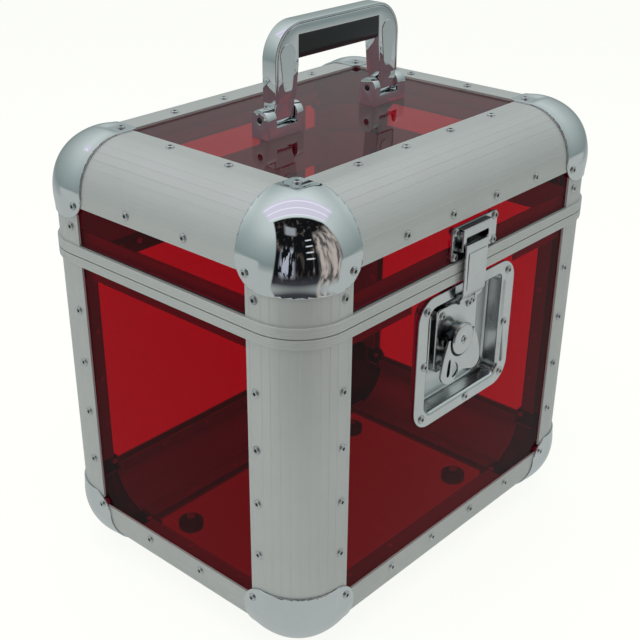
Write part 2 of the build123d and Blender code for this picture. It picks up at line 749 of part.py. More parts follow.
def make_lid():
    """The fixed panels and profiles of the lid."""
    level_edge_profiles("top", TOP, -1, LID_SIDE_PLACES, "lid")
    with BuildPart() as short_uprights:
        add(list(uprights(LID_RIM_HIGH, TOP - PROFILE_SETBACK, LID_SIDE_PLACES).values()))
    write(short_uprights.part, "lid_uprights")
    with BuildPart() as top:
        add(level_panel(TOP_FACE, LEVEL_PLACES["top"] + LEVEL_CAPS["top"]))
        with Locations(*[(x, y, TOP) for x, y in bracket_screw_places()]):
            Cylinder(SCREW_SHANK + RIVET_PLAY, 4 * LIP_INNER, mode=Mode.SUBTRACT)
    write(top.part, "lid_panel_top")
    extra = {"front": KEEPER_PLACES, "back": HINGE_LID_PLACES}
    for side in SIDES:
        places = LID_SIDE_PLACES[side] + LID_CAP_PLACES[side] + extra.get(side, [])
        panel = side_panel(side, LID_PANEL_LOW, TOP - PANEL_INSET, places)
        write(panel, f"lid_panel_{side}")


# --- Handle ----------------------------------------------------------------------------------------

HANDLE_PLANE = Plane((HANDLE_SHIFT, 0, 0), x_dir=(1, 0, 0), z_dir=(0, -1, 0))
HANDLE_SIDE = Plane((HANDLE_SHIFT, 0, 0), x_dir=(0, 1, 0), z_dir=(1, 0, 0))
HALF_HANDLE = HANDLE_WIDTH / 2
HANDLE_HIGH = TOP + HANDLE_TOP
LEG_INNER_HIGH = HALF_HANDLE - LEG_TOP_WIDTH
LEG_INNER_LOW = HALF_HANDLE - LEG_FOOT_WIDTH
GRIP_HIGH = HANDLE_HIGH - CROSSBAR
GRIP_LOW = GRIP_HIGH - GRIP_DROP
FOOT_LEVEL = PIN_LEVEL + LEG_FOOT_RISE
LEG_STRAIGHT = GRIP_LOW - STRAP_WALL


def leg_inner(height):
    """Distance of a leg's inner edge from the handle's middle at a height."""
    share = (height - PIN_LEVEL) / (LEG_STRAIGHT - PIN_LEVEL)
    return LEG_INNER_LOW + (LEG_INNER_HIGH - LEG_INNER_LOW) * share


EAR_INNER = leg_inner(PIN_LEVEL + BRACKET_EAR_RADIUS) - BRACKET_PLAY
EAR_OUTER = HALF_HANDLE + BRACKET_PLAY
BRACKET_INSIDE = EAR_INNER - BRACKET_INNER_EAR
BRACKET_OUTSIDE = EAR_OUTER + BRACKET_OUTER_EAR
BRACKET_FLOOR = PIN_LEVEL - LEG_FOOT_THICK / 2 - BRACKET_PLAY


def arch(inset, low):
    """The handle's outline inside the strap, down to a level."""
    width = HANDLE_WIDTH - 2 * inset
    high = HANDLE_HIGH - inset
    with BuildSketch(mode=Mode.PRIVATE) as outline:
        with Locations((0, (low + high) / 2)):
            Rectangle(width, high - low)
        fillet(outline.vertices().group_by(Axis.Y)[-1], HANDLE_CORNER - inset)
    return outline.sketch


def pin_holes(radius):
    """A hole along the pin line, right across the handle."""
    with Locations(HANDLE_SIDE * Location((0, PIN_LEVEL, 0))):
        Cylinder(radius, 2 * BRACKET_OUTSIDE + PIN_HEIGHT, mode=Mode.SUBTRACT)


def make_handle():
    """The chrome frame, the strap round it and the black grip under its crossbar."""
    with BuildPart() as frame:
        with BuildSketch(HANDLE_PLANE):
            add(arch(STRAP_WALL + STRAP_GAP, FOOT_LEVEL))
            with BuildLine():
                Polyline(
                    (-leg_inner(FOOT_LEVEL), FOOT_LEVEL),
                    (-LEG_INNER_HIGH, LEG_STRAIGHT),
                    (-LEG_INNER_HIGH, GRIP_HIGH),
                    (LEG_INNER_HIGH, GRIP_HIGH),
                    (LEG_INNER_HIGH, LEG_STRAIGHT),
                    (leg_inner(FOOT_LEVEL), FOOT_LEVEL),
                    close=True,
                )
            make_face(mode=Mode.SUBTRACT)
        extrude(amount=HANDLE_THICK / 2, both=True)
        with BuildSketch(HANDLE_PLANE):
            for sign in (-1, 1):
                with BuildLine():
                    Polyline(
                        (sign * HALF_HANDLE, PIN_LEVEL),
                        (sign * HALF_HANDLE, FOOT_LEVEL),
                        (sign * leg_inner(FOOT_LEVEL), FOOT_LEVEL),
                        (sign * LEG_INNER_LOW, PIN_LEVEL),
                        close=True,
                    )
                make_face()
        extrude(amount=LEG_FOOT_THICK / 2, both=True)
        for inner, outer in ((-HALF_HANDLE, -LEG_INNER_LOW), (LEG_INNER_LOW, HALF_HANDLE)):
            with Locations(HANDLE_SIDE * Location((0, PIN_LEVEL, (inner + outer) / 2))):
                Cylinder(LEG_FOOT_THICK / 2, outer - inner)
        pin_holes(PIN_RADIUS + PIN_PLAY)
    write(frame.part, "handle_frame")

    with BuildPart() as strap:
        with BuildSketch(HANDLE_PLANE):
            add(arch(0.0, FOOT_LEVEL))
            add(arch(STRAP_WALL, FOOT_LEVEL), mode=Mode.SUBTRACT)
        extrude(amount=HANDLE_THICK / 2, both=True)
    write(strap.part, "handle_strap")

    with BuildPart() as grip:
        with BuildSketch(HANDLE_SIDE):
            round_level = GRIP_LOW + HANDLE_THICK / 2
            with Locations((0, (round_level + GRIP_HIGH) / 2)):
                Rectangle(HANDLE_THICK, GRIP_HIGH - round_level)
            with Locations((0, round_level)):
                Circle(HANDLE_THICK / 2)
        extrude(amount=LEG_INNER_HIGH - STRAP_GAP / 2, both=True)
    write(grip.part, "handle_grip")


def bracket_screw_places():
    """Screws of the two brackets, seen from above."""
    middle = (BRACKET_INSIDE + BRACKET_OUTSIDE) / 2
    return [
        (HANDLE_SHIFT + sign * middle + dx, 0.0)
        for sign in (-1, 1)
        for dx in centred(BRACKET_SCREW_SPACING, 2)
    ]


def make_brackets():
    """The two brackets of the handle, their screws and their pivot pins."""
    seat = TOP - PANEL_OUTER
    with BuildPart() as brackets:
        with BuildSketch(HANDLE_SIDE):
            with Locations((0, (seat + PIN_LEVEL) / 2)):
                Rectangle(BRACKET_DEPTH, PIN_LEVEL - seat)
            with Locations((0, PIN_LEVEL)):
                Circle(BRACKET_EAR_RADIUS)
        extrude(amount=BRACKET_OUTSIDE, both=True)
        clear = (-CASE_DEPTH / 4, CASE_DEPTH / 4)
        inner = (-BRACKET_INSIDE, BRACKET_INSIDE)
        block(HANDLE_PLANE, inner, (seat, HANDLE_HIGH), clear, mode=Mode.SUBTRACT)
        for span in ((-EAR_OUTER, -EAR_INNER), (EAR_INNER, EAR_OUTER)):
            block(HANDLE_PLANE, span, (BRACKET_FLOOR, HANDLE_HIGH), clear, mode=Mode.SUBTRACT)
        pin_holes(PIN_RADIUS)
        with Locations(*[(x, y, seat) for x, y in bracket_screw_places()]):
            Cylinder(SCREW_SHANK, BRACKET_SCREW_DEPTH, align=UP, mode=Mode.SUBTRACT)
    write(brackets.part, "handle_brackets")

    inside = TOP - PANEL_INNER
    with BuildPart() as screws:
        with Locations(*[(x, y, inside) for x, y in bracket_screw_places()]):
            Cylinder(SCREW_HEAD, SCREW_HEAD_HEIGHT, align=DOWN)
            Cylinder(SCREW_SHANK, PANEL_WALL + BRACKET_SCREW_DEPTH, align=UP)
    write(screws.part, "bracket_screws")

    with BuildPart() as pins:
        with BuildSketch(HANDLE_SIDE):
            with Locations((0, PIN_LEVEL)):
                Circle(PIN_RADIUS)
        extrude(amount=BRACKET_OUTSIDE, both=True)
        block(HANDLE_PLANE, inner, (seat, HANDLE_HIGH), clear, mode=Mode.SUBTRACT)
    write(pins.part, "handle_pins")


# --- Latch -----------------------------------------------------------------------------------------

KNOB_PLANE = Plane((KNOB_ACROSS, FRONT, KNOB_HEIGHT), x_dir=(1, 0, 0), z_dir=(0, -1, 0))


def about(centre, half):
    """A span of a half width about a centre."""
    return (centre - half, centre + half)


def make_dish():
    """The pressed dish, its cover plate and its guide channel, with their rivets."""
    plate_out = DISH_WALL - PANEL_OUTER
    shell = (-POCKET_DEPTH - DISH_WALL, -PANEL_OUTER)
    hollow = (-POCKET_DEPTH, RIM_PROUD)
    with BuildPart() as dish:
        with BuildSketch(FRONT_FACE.offset(-PANEL_OUTER)):
            with Locations(((DISH_LEFT + DISH_RIGHT) / 2, (DISH_LOW + DISH_HIGH) / 2)):
                RectangleRounded(DISH_RIGHT - DISH_LEFT, DISH_HIGH - DISH_LOW, DISH_CORNER)
        extrude(amount=DISH_WALL)
        block(FRONT_FACE, *dish_opening(DISH_WALL), shell)
        block(FRONT_FACE, *notch_opening(DISH_WALL), shell)
        block(FRONT_FACE, *dish_opening(0.0), hollow, mode=Mode.SUBTRACT)
        across, along = notch_opening(0.0)
        block(FRONT_FACE, across, along, hollow, mode=Mode.SUBTRACT)
        open_end = (along[0], DISH_HIGH + DISH_WALL)
        block(FRONT_FACE, across, open_end, (-PANEL_OUTER, RIM_PROUD), mode=Mode.SUBTRACT)
        drill(DISH_PLACES)
        drill(COVER_PLACES + GUIDE_PLACES)
    write(dish.part, "latch_dish")

    inner = COVER_OUT - COVER_WALL
    right = COVER_WIDTH - COVER_LEFT
    with BuildPart() as cover:
        block(KNOB_PLANE, (-COVER_LEFT, right), (-COVER_LOW, COVER_HIGH), (inner, COVER_OUT))
        for span in ((-COVER_LEFT, COVER_WALL - COVER_LEFT), (right - COVER_WALL, right)):
            block(KNOB_PLANE, span, (-COVER_LOW, COVER_HIGH), (-POCKET_DEPTH, inner))
        with Locations(KNOB_PLANE * Location((0, 0, COVER_OUT))):
            Cylinder(SHAFT_RADIUS + PIN_PLAY, 4 * COVER_WALL, mode=Mode.SUBTRACT)
        drill(COVER_PLACES)
    write(cover.part, "latch_cover")

    edge = -POCKET_DEPTH + GUIDE_DEPTH
    with BuildPart() as guide:
        across = (GUIDE_LEFT, GUIDE_LEFT + GUIDE_WIDTH)
        block(FRONT_FACE, across, (GUIDE_LOW, GUIDE_HIGH), (-POCKET_DEPTH, edge))
        slot = (across[0] + GUIDE_WALL, across[1] - GUIDE_WALL)
        floor = -POCKET_DEPTH + GUIDE_WALL
        block(FRONT_FACE, slot, (GUIDE_LOW, GUIDE_HIGH), (floor, edge), mode=Mode.SUBTRACT)
        drill(GUIDE_PLACES)
    write(guide.part, "latch_guide")


CRANK_START = radians(180 + KNOB_TURN / 2)
CRANK_PIN_PLACE = (CRANK_ARM * cos(CRANK_START), CRANK_ARM * sin(CRANK_START))
DRAW_IN = DRAW_OUT - DRAW_WALL
FOLD_CENTRE = KNOB_PLANE * Location((0, 0, WING_AXIS_OUT), (0, 90, 0))


def make_knob():
    """The knob with its shaft, crank disc and crank pin, and the pin on which the wing folds."""
    crank_out = COVER_OUT - COVER_WALL - STRAP_GAP
    with BuildPart() as knob:
        with BuildSketch(KNOB_PLANE.offset(KNOB_IN)):
            Circle(KNOB_RADIUS)
        extrude(amount=KNOB_OUT - KNOB_IN)
        fillet(knob.faces().filter_by(GeomType.PLANE).sort_by(Axis.Y)[0].edges(), KNOB_OUT - KNOB_SIDE_OUT)
        side = (-KNOB_RADIUS, -SPRING_RADIUS - PIN_PLAY)
        block(
            KNOB_PLANE, side, (-SPRING_RADIUS - BRACKET_PLAY, KNOB_RADIUS), (KNOB_IN, KNOB_OUT),
            mode=Mode.SUBTRACT,
        )
        with BuildSketch(KNOB_PLANE.offset(crank_out - CRANK_WALL)):
            Circle(SHAFT_RADIUS)
        extrude(amount=KNOB_IN - crank_out + CRANK_WALL)
        with BuildSketch(KNOB_PLANE.offset(crank_out - CRANK_WALL)):
            Circle(CRANK_RADIUS)
        extrude(amount=CRANK_WALL)
        with BuildSketch(KNOB_PLANE.offset(DRAW_IN)):
            with Locations(CRANK_PIN_PLACE):
                Circle(CRANK_PIN)
        extrude(amount=crank_out - CRANK_WALL - DRAW_IN)
        with Locations(FOLD_CENTRE):
            Cylinder(WING_PIN, 2 * WING_LEFT, mode=Mode.SUBTRACT)
    write(knob.part, "latch_knob")

    with BuildPart() as fold_pin:
        with Locations(FOLD_CENTRE):
            Cylinder(WING_PIN, 2 * WING_LEFT)
    write(fold_pin.part, "latch_fold_pin")

    spring_end = -WING_CUT + BRACKET_PLAY
    spring_start = -SPRING_RADIUS - BRACKET_PLAY
    middle = KNOB_PLANE * Location(((spring_end + spring_start) / 2, 0, WING_AXIS_OUT), (0, 90, 0))
    with BuildPart() as spring:
        with Locations(middle):
            Cylinder(SPRING_RADIUS, spring_start - spring_end)
            Cylinder(WING_PIN, spring_start - spring_end, mode=Mode.SUBTRACT)
    write(spring.part, "latch_spring")


def make_wing():
    """The folding wing, cut round the knob, with a padlock eye and two lugs on the fold pin."""
    with BuildPart() as wing:
        with BuildSketch(KNOB_PLANE.offset(WING_OUT - WING_WALL)) as outline:
            with BuildLine():
                Polyline(
                    (-WING_LEFT, WING_LUG),
                    (-WING_LEFT, -WING_SHOULDER),
                    (-WING_LEFT - WING_EDGE / 2, -WING_LOBE),
                    (-WING_LEFT / 2, -WING_LOBE - WING_EDGE),
                    (WING_LEFT / 3, -WING_CHEEK),
                    (WING_RIGHT - 2 * WING_EDGE, -WING_CHEEK),
                    (WING_RIGHT, -WING_CHEEK + 3 * WING_EDGE),
                    (WING_RIGHT, -WING_SHOULDER),
                    (WING_LEFT, -WING_EDGE),
                    (WING_LEFT, WING_LUG),
                    close=True,
                )
            make_face()
            fillet(outline.vertices().filter_by_position(Axis.Y, -2 * WING_LOBE, 0), WING_EDGE)
            Circle(WING_CUT, mode=Mode.SUBTRACT)
            with Locations((0, WING_LUG / 2)):
                Rectangle(2 * WING_CUT, WING_LUG, mode=Mode.SUBTRACT)
            with Locations((-WING_LEFT / 2, -WING_LOBE + WING_EDGE + EYE_HEIGHT / 2)):
                Rectangle(EYE_WIDTH, EYE_HEIGHT, mode=Mode.SUBTRACT)
        extrude(amount=WING_WALL)
        for near, far in ((-WING_LEFT, -WING_CUT), (WING_CUT, WING_LEFT)):
            width = far - near
            with Locations(KNOB_PLANE * Location(((near + far) / 2, 0, WING_AXIS_OUT), (0, 90, 0))):
                Cylinder(WING_LUG, width)
            block(KNOB_PLANE, (near, far), (-WING_LUG, WING_LUG), (WING_AXIS_OUT, WING_OUT - WING_WALL))
        with Locations(FOLD_CENTRE):
            Cylinder(WING_PIN + PIN_PLAY, 2 * WING_LEFT, mode=Mode.SUBTRACT)
    write(wing.part, "latch_wing")


TONGUE_SIDE = Plane((TONGUE_LEFT + TONGUE_WIDTH / 2, FRONT, 0), x_dir=(0, -1, 0), z_dir=(-1, 0, 0))
TONGUE_MIDDLE_X = TONGUE_LEFT + TONGUE_WIDTH / 2
PIVOT = TONGUE_SIDE * Location((TONGUE_PIVOT_OUT, TONGUE_PIVOT_HEIGHT, 0))
CENTRE_KNUCKLE = TONGUE_WIDTH / 6
DRAW_STRIP_OUT = TONGUE_PIVOT_OUT - TONGUE_BARREL - 2 * BRACKET_PLAY


def side_shape(points, half, mode=Mode.ADD):
    """A shape of the drawbolt or the tongue, drawn from the side as (out, height)."""
    with BuildSketch(TONGUE_SIDE) as outline:
        with BuildLine():
            Polyline(*points, close=True)
        make_face()
    extrude(outline.sketch, amount=half, both=True, mode=mode)


def make_drawbolt():
    """The drawbolt, whose strip climbs out of the dish to the tongue's pivot, and the pivot pin."""
    strip_high = TONGUE_PIVOT_HEIGHT + DRAW_WALL / 2
    strip_low = TONGUE_PIVOT_HEIGHT - DRAW_WALL / 2
    with BuildPart() as drawbolt:
        low = KNOB_HEIGHT - DRAW_LOW
        half = DRAW_WIDTH / 2
        block(FRONT_FACE, about(TONGUE_MIDDLE_X, half), (low, DRAW_BEND), (DRAW_IN, DRAW_OUT))
        climb = (TONGUE_PIVOT_HEIGHT - DRAW_BEND) / (TONGUE_PIVOT_OUT - DRAW_IN)
        break_level = DRAW_BEND + climb * (DRAW_STRIP_OUT - DRAW_IN)
        side_shape(
            [
                (DRAW_IN, DRAW_BEND - DRAW_WALL),
                (DRAW_OUT, DRAW_BEND - DRAW_WALL),
                (DRAW_STRIP_OUT, break_level - DRAW_WALL),
                (DRAW_STRIP_OUT, break_level),
                (DRAW_IN, DRAW_BEND),
            ],
            half,
        )
        side_shape(
            [
                (DRAW_STRIP_OUT - DRAW_WALL, break_level - DRAW_WALL - climb * DRAW_WALL),
                (TONGUE_PIVOT_OUT, strip_low),
                (TONGUE_PIVOT_OUT, strip_high),
                (DRAW_STRIP_OUT - DRAW_WALL, break_level - climb * DRAW_WALL),
            ],
            CENTRE_KNUCKLE,
        )
        with BuildSketch(TONGUE_SIDE):
            with Locations((TONGUE_PIVOT_OUT, TONGUE_PIVOT_HEIGHT)):
                Circle(TONGUE_BARREL)
        extrude(amount=CENTRE_KNUCKLE, both=True)
        with Locations(PIVOT):
            Cylinder(TONGUE_PIN, TONGUE_WIDTH, mode=Mode.SUBTRACT)
        slot_half = CRANK_PIN + CRANK_SLOT_PLAY
        reach = (-CRANK_ARM - slot_half, CRANK_PIN_PLACE[0] + slot_half)
        slot = about(CRANK_PIN_PLACE[1], slot_half)
        block(KNOB_PLANE, reach, slot, (DRAW_IN, DRAW_OUT), mode=Mode.SUBTRACT)
    write(drawbolt.part, "latch_drawbolt")

    with BuildPart() as pin:
        with Locations(PIVOT):
            Cylinder(TONGUE_PIN, TONGUE_WIDTH)
    write(pin.part, "tongue_pin")


def make_tongue():
    """The tongue: a plate over the closure with a lip at its top and barrels on the pivot pin."""
    inner = TONGUE_OUT - TONGUE_PLATE
    lip_in = BUMP_OUT + DRAW_PLAY
    half = TONGUE_WIDTH / 2
    with BuildPart() as tongue:
        side_shape(
            [
                (inner, TONGUE_LOW),
                (TONGUE_OUT, TONGUE_LOW),
                (TONGUE_OUT, TONGUE_HIGH),
                (lip_in, TONGUE_HIGH),
                (lip_in, TONGUE_HIGH - TONGUE_LIP),
                (inner, TONGUE_HIGH - TONGUE_LIP),
            ],
            half,
        )
        side_shape(
            [
                (TONGUE_PIVOT_OUT, TONGUE_PIVOT_HEIGHT + TONGUE_BARREL),
                (TONGUE_PIVOT_OUT + TONGUE_BARREL, TONGUE_PIVOT_HEIGHT),
                (TONGUE_OUT, TONGUE_LOW),
                (inner, TONGUE_LOW + TONGUE_PLATE),
            ],
            half,
        )
        with BuildSketch(TONGUE_SIDE):
            with Locations((TONGUE_PIVOT_OUT, TONGUE_PIVOT_HEIGHT)):
                Circle(TONGUE_BARREL)
        extrude(amount=half, both=True)
        knuckle = about(TONGUE_MIDDLE_X, CENTRE_KNUCKLE + BRACKET_PLAY)
        low_end = (TONGUE_PIVOT_HEIGHT - TONGUE_BARREL, TONGUE_PIVOT_HEIGHT + TONGUE_BARREL + BRACKET_PLAY)
        behind = (TONGUE_PIVOT_OUT - TONGUE_BARREL, TONGUE_OUT)
        block(FRONT_FACE, knuckle, low_end, behind, mode=Mode.SUBTRACT)
        across = about(TONGUE_MIDDLE_X, half - EMBOSS_MARGIN)
        along = (TONGUE_LOW + EMBOSS_MARGIN, TONGUE_HIGH - 2 * EMBOSS_MARGIN)
        block(FRONT_FACE, across, along, (TONGUE_OUT - EMBOSS_DEPTH, TONGUE_OUT), mode=Mode.SUBTRACT)
        with Locations(PIVOT):
            Cylinder(TONGUE_PIN + PIN_PLAY, TONGUE_WIDTH, mode=Mode.SUBTRACT)
    write(tongue.part, "latch_tongue")


def make_keeper():
    """The keeper on the lid: a plate with a hollow bump, open below, slotted in front and at its left."""
    outer = KEEPER_WALL - PANEL_OUTER
    with BuildPart() as keeper:
        with BuildSketch(FRONT_FACE.offset(-PANEL_OUTER)):
            with Locations((KEEPER_LEFT + KEEPER_WIDTH / 2, (KEEPER_LOW + KEEPER_HIGH) / 2)):
                RectangleRounded(KEEPER_WIDTH, KEEPER_HIGH - KEEPER_LOW, KEEPER_CORNER)
        extrude(amount=KEEPER_WALL)
        bump = (BUMP_LEFT, BUMP_LEFT + BUMP_WIDTH)
        block(FRONT_FACE, bump, (BUMP_LOW, BUMP_HIGH), (outer, BUMP_OUT))
        hollow = (bump[0] + KEEPER_WALL, bump[1] - KEEPER_WALL)
        block(
            FRONT_FACE, hollow, (BUMP_LOW, BUMP_HIGH - KEEPER_WALL), (-PANEL_OUTER, BUMP_OUT - KEEPER_WALL),
            mode=Mode.SUBTRACT,
        )
        slot = (BUMP_SLOT_LEFT, BUMP_SLOT_LEFT + BUMP_SLOT_WIDTH)
        height = (BUMP_SLOT_LOW, BUMP_SLOT_HIGH)
        block(FRONT_FACE, slot, height, (outer, BUMP_OUT), mode=Mode.SUBTRACT)
        block(
            FRONT_FACE, (bump[0], hollow[0]), height, (outer, BUMP_OUT - KEEPER_WALL), mode=Mode.SUBTRACT
        )
        drill(KEEPER_PLACES)
    write(keeper.part, "latch_keeper")


# --- Rear hinges -----------------------------------------------------------------------------------


def leaf(direction):
    """A hinge leaf beside the hinge line: below it (-1) or above it (+1), without its knuckles."""
    outer = LEAF_WALL - PANEL_OUTER
    over = RIM_PROUD + LEAF_WALL
    clear = KNUCKLE_RADIUS + KNUCKLE_GAP
    points = [
        (-PANEL_OUTER, LEAF_REACH - 2 * KNUCKLE_GAP),
        (outer, LEAF_REACH - 2 * KNUCKLE_GAP),
        (outer, LEAF_JOG_END),
        (over, LEAF_JOG_START - KNUCKLE_GAP),
        (over, clear),
        (RIM_PROUD, clear),
        (RIM_PROUD, RIM_HEIGHT + KNUCKLE_GAP),
        (-PANEL_OUTER, LEAF_JOG_END - KNUCKLE_GAP),
    ]
    with BuildPart() as plate:
        for centre in HINGE_CENTRES:
            with BuildSketch(Plane((centre, HALF_DEPTH, PARTING), x_dir=(0, 1, 0), z_dir=(1, 0, 0))):
                with BuildLine():
                    Polyline(*[(out, direction * height) for out, height in points], close=True)
                make_face()
            extrude(amount=HINGE_WIDTH / 2, both=True)
    return plate.part


def knuckles(spans, direction):
    """Knuckles of one leaf, with the tabs that join them to it."""
    for centre in HINGE_CENTRES:
        for near, far in spans:
            plane = Plane((centre + near, HALF_DEPTH, PARTING), x_dir=(0, 1, 0), z_dir=(1, 0, 0))
            with BuildSketch(plane) as section:
                with Locations((HINGE_OUT, 0)):
                    Circle(KNUCKLE_RADIUS)
                tab = KNUCKLE_RADIUS + 2 * KNUCKLE_GAP
                with Locations((RIM_PROUD + LEAF_WALL / 2, direction * tab / 2)):
                    Rectangle(LEAF_WALL, tab)
            extrude(section.sketch, amount=far - near)


def hinge_line(radius, mode=Mode.ADD):
    """A round bar along the hinge line of each hinge."""
    for centre in HINGE_CENTRES:
        line = Plane((centre, HALF_DEPTH + HINGE_OUT, PARTING), x_dir=(0, 1, 0), z_dir=(1, 0, 0))
        with BuildSketch(line) as section:
            Circle(radius)
        extrude(section.sketch, amount=HINGE_WIDTH / 2, both=True, mode=mode)


def make_hinges():
    """Base leaves with the outer knuckles, lid leaves with the middle knuckle, and the pins."""
    half = HINGE_WIDTH / 2
    middle = KNUCKLE_SHARE / 2
    outer_spans = [(-half, -middle - KNUCKLE_GAP), (middle + KNUCKLE_GAP, half)]
    kinds = (
        ("hinge_base_leaves", -1, outer_spans, HINGE_BASE_PLACES, HINGE_PIN),
        ("hinge_lid_leaves", 1, [(-middle, middle)], HINGE_LID_PLACES, HINGE_PIN + PIN_PLAY),
    )
    for name, direction, spans, places, bore in kinds:
        with BuildPart() as leaves:
            add(leaf(direction))
            knuckles(spans, direction)
            hinge_line(bore, mode=Mode.SUBTRACT)
            drill(places)
        write(leaves.part, name)
    with BuildPart() as pins:
        hinge_line(HINGE_PIN)
    write(pins.part, "hinge_pins")


def main():
    os.makedirs("parts", exist_ok=True)
    make_base()
    make_lid()
    make_rims()
    make_caps()
    make_rivets()
    make_feet()
    make_handle()
    make_brackets()
    make_dish()
    make_knob()
    make_wing()
    make_drawbolt()
    make_tongue()
    make_keeper()
    make_hinges()


if __name__ == "__main__":
    main()
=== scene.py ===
"""Record carrying case: clear red panels in satin edge profiles, ball corners, a folding handle and
a recessed butterfly latch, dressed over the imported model."""

import math

import bmesh
import bpy
from bpy.props import FloatProperty, FloatVectorProperty, IntProperty, PointerProperty
from mathutils import Matrix, Vector


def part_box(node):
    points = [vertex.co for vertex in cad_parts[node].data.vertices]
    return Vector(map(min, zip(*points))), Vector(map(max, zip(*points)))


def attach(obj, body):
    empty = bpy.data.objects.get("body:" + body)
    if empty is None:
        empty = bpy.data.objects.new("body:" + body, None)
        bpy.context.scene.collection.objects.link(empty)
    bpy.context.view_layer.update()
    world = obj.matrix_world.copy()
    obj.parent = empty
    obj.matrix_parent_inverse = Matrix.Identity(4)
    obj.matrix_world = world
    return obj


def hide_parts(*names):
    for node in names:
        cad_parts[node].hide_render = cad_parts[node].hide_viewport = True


bl_info = {
    "name": "Record Carrying Case",
    "version": (1, 0, 0),
    "blender": (4, 5, 0),
    "location": "3D View > Sidebar > Case",
    "description": "Builds a record carrying case piece by piece over its packed model",
    "category": "Add Mesh",
}

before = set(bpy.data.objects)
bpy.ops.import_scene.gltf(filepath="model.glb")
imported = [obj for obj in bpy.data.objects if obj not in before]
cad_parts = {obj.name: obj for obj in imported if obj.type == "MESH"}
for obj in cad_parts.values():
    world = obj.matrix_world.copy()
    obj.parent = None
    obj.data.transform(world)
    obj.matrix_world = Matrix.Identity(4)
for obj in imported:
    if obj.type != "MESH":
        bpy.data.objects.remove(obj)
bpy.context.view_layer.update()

MM = 0.001
SIZES = [(high - low) / MM for low, high in zip(*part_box("lid_rim"))]
RIM_PROUD = 2.0
HALF_WIDTH = SIZES[0] / 2 - RIM_PROUD
HALF_DEPTH = SIZES[1] / 2 - RIM_PROUD
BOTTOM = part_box("base_profile_front")[0].z / MM
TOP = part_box("lid_profile_front")[1].z / MM
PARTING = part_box("lid_rim")[0].z / MM
EDGE_RADIUS = 40.0


# --- Settings ---------------------------------------------------------------------------------------


class CaseEdgeSettings(bpy.types.PropertyGroup):
    """Fine lines and edges of the profiles and rims."""

    line_width: FloatProperty(
        name="Line width", description="Width of a fine line pressed along the profiles",
        default=0.0005, min=0.0001, unit="LENGTH", precision=5,
    )
    line_depth: FloatProperty(
        name="Line depth", description="Depth of a fine line pressed along the profiles",
        default=0.00014, min=0.0, unit="LENGTH", precision=5,
    )
    line_count: IntProperty(
        name="Lines", description="Fine lines round the curve of each profile", default=9, min=0,
    )
    rivet_segments: IntProperty(
        name="Rivet segments", description="Segments round each rivet head", default=16, min=8,
    )
    cap_cuts: IntProperty(
        name="Cap detail", description="Rows of faces along each side of a ball corner", default=40, min=8,
    )


class CaseFinishSettings(bpy.types.PropertyGroup):
    """Colours of the case."""

    acrylic: FloatVectorProperty(
        name="Acrylic", description="Colour that one clear panel lets through", subtype="COLOR",
        size=3, min=0.0, max=1.0, default=(0.525, 0.013, 0.065),
    )
    satin: FloatVectorProperty(
        name="Satin metal", description="Colour of the profiles and rims", subtype="COLOR",
        size=3, min=0.0, max=1.0, default=(0.565, 0.59, 0.575),
    )
    chrome: FloatVectorProperty(
        name="Chrome", description="Colour of the handle, its brackets and the ball corners",
        subtype="COLOR", size=3, min=0.0, max=1.0, default=(0.80, 0.83, 0.84),
    )
    plate: FloatVectorProperty(
        name="Bright plate", description="Colour of the latch's plated steel", subtype="COLOR",
        size=3, min=0.0, max=1.0, default=(0.80, 0.82, 0.82),
    )
    grip: FloatVectorProperty(
        name="Grip", description="Colour of the handle's grip", subtype="COLOR",
        size=3, min=0.0, max=1.0, default=(0.008, 0.010, 0.011),
    )
    rubber: FloatVectorProperty(
        name="Feet", description="Colour of the rubber feet", subtype="COLOR",
        size=3, min=0.0, max=1.0, default=(0.26, 0.25, 0.25),
    )


class CaseStageSettings(bpy.types.PropertyGroup):
    """Camera and light of the stage."""

    lens: FloatProperty(
        name="Lens", description="Focal length of the camera", default=64.25, min=10.0, unit="CAMERA",
    )
    key_power: FloatProperty(
        name="Key light", description="Power of the large lamp overhead", default=15.0, min=0.0,
        unit="POWER",
    )
    fill_power: FloatProperty(
        name="Fill light", description="Power of the lamps at the sides", default=4.4, min=0.0,
        unit="POWER",
    )
    room_level: FloatProperty(
        name="Room level", description="Brightness of the pale surroundings", default=1.0, min=0.0,
    )


# --- Materials --------------------------------------------------------------------------------------

_groups = {}
_materials = {}


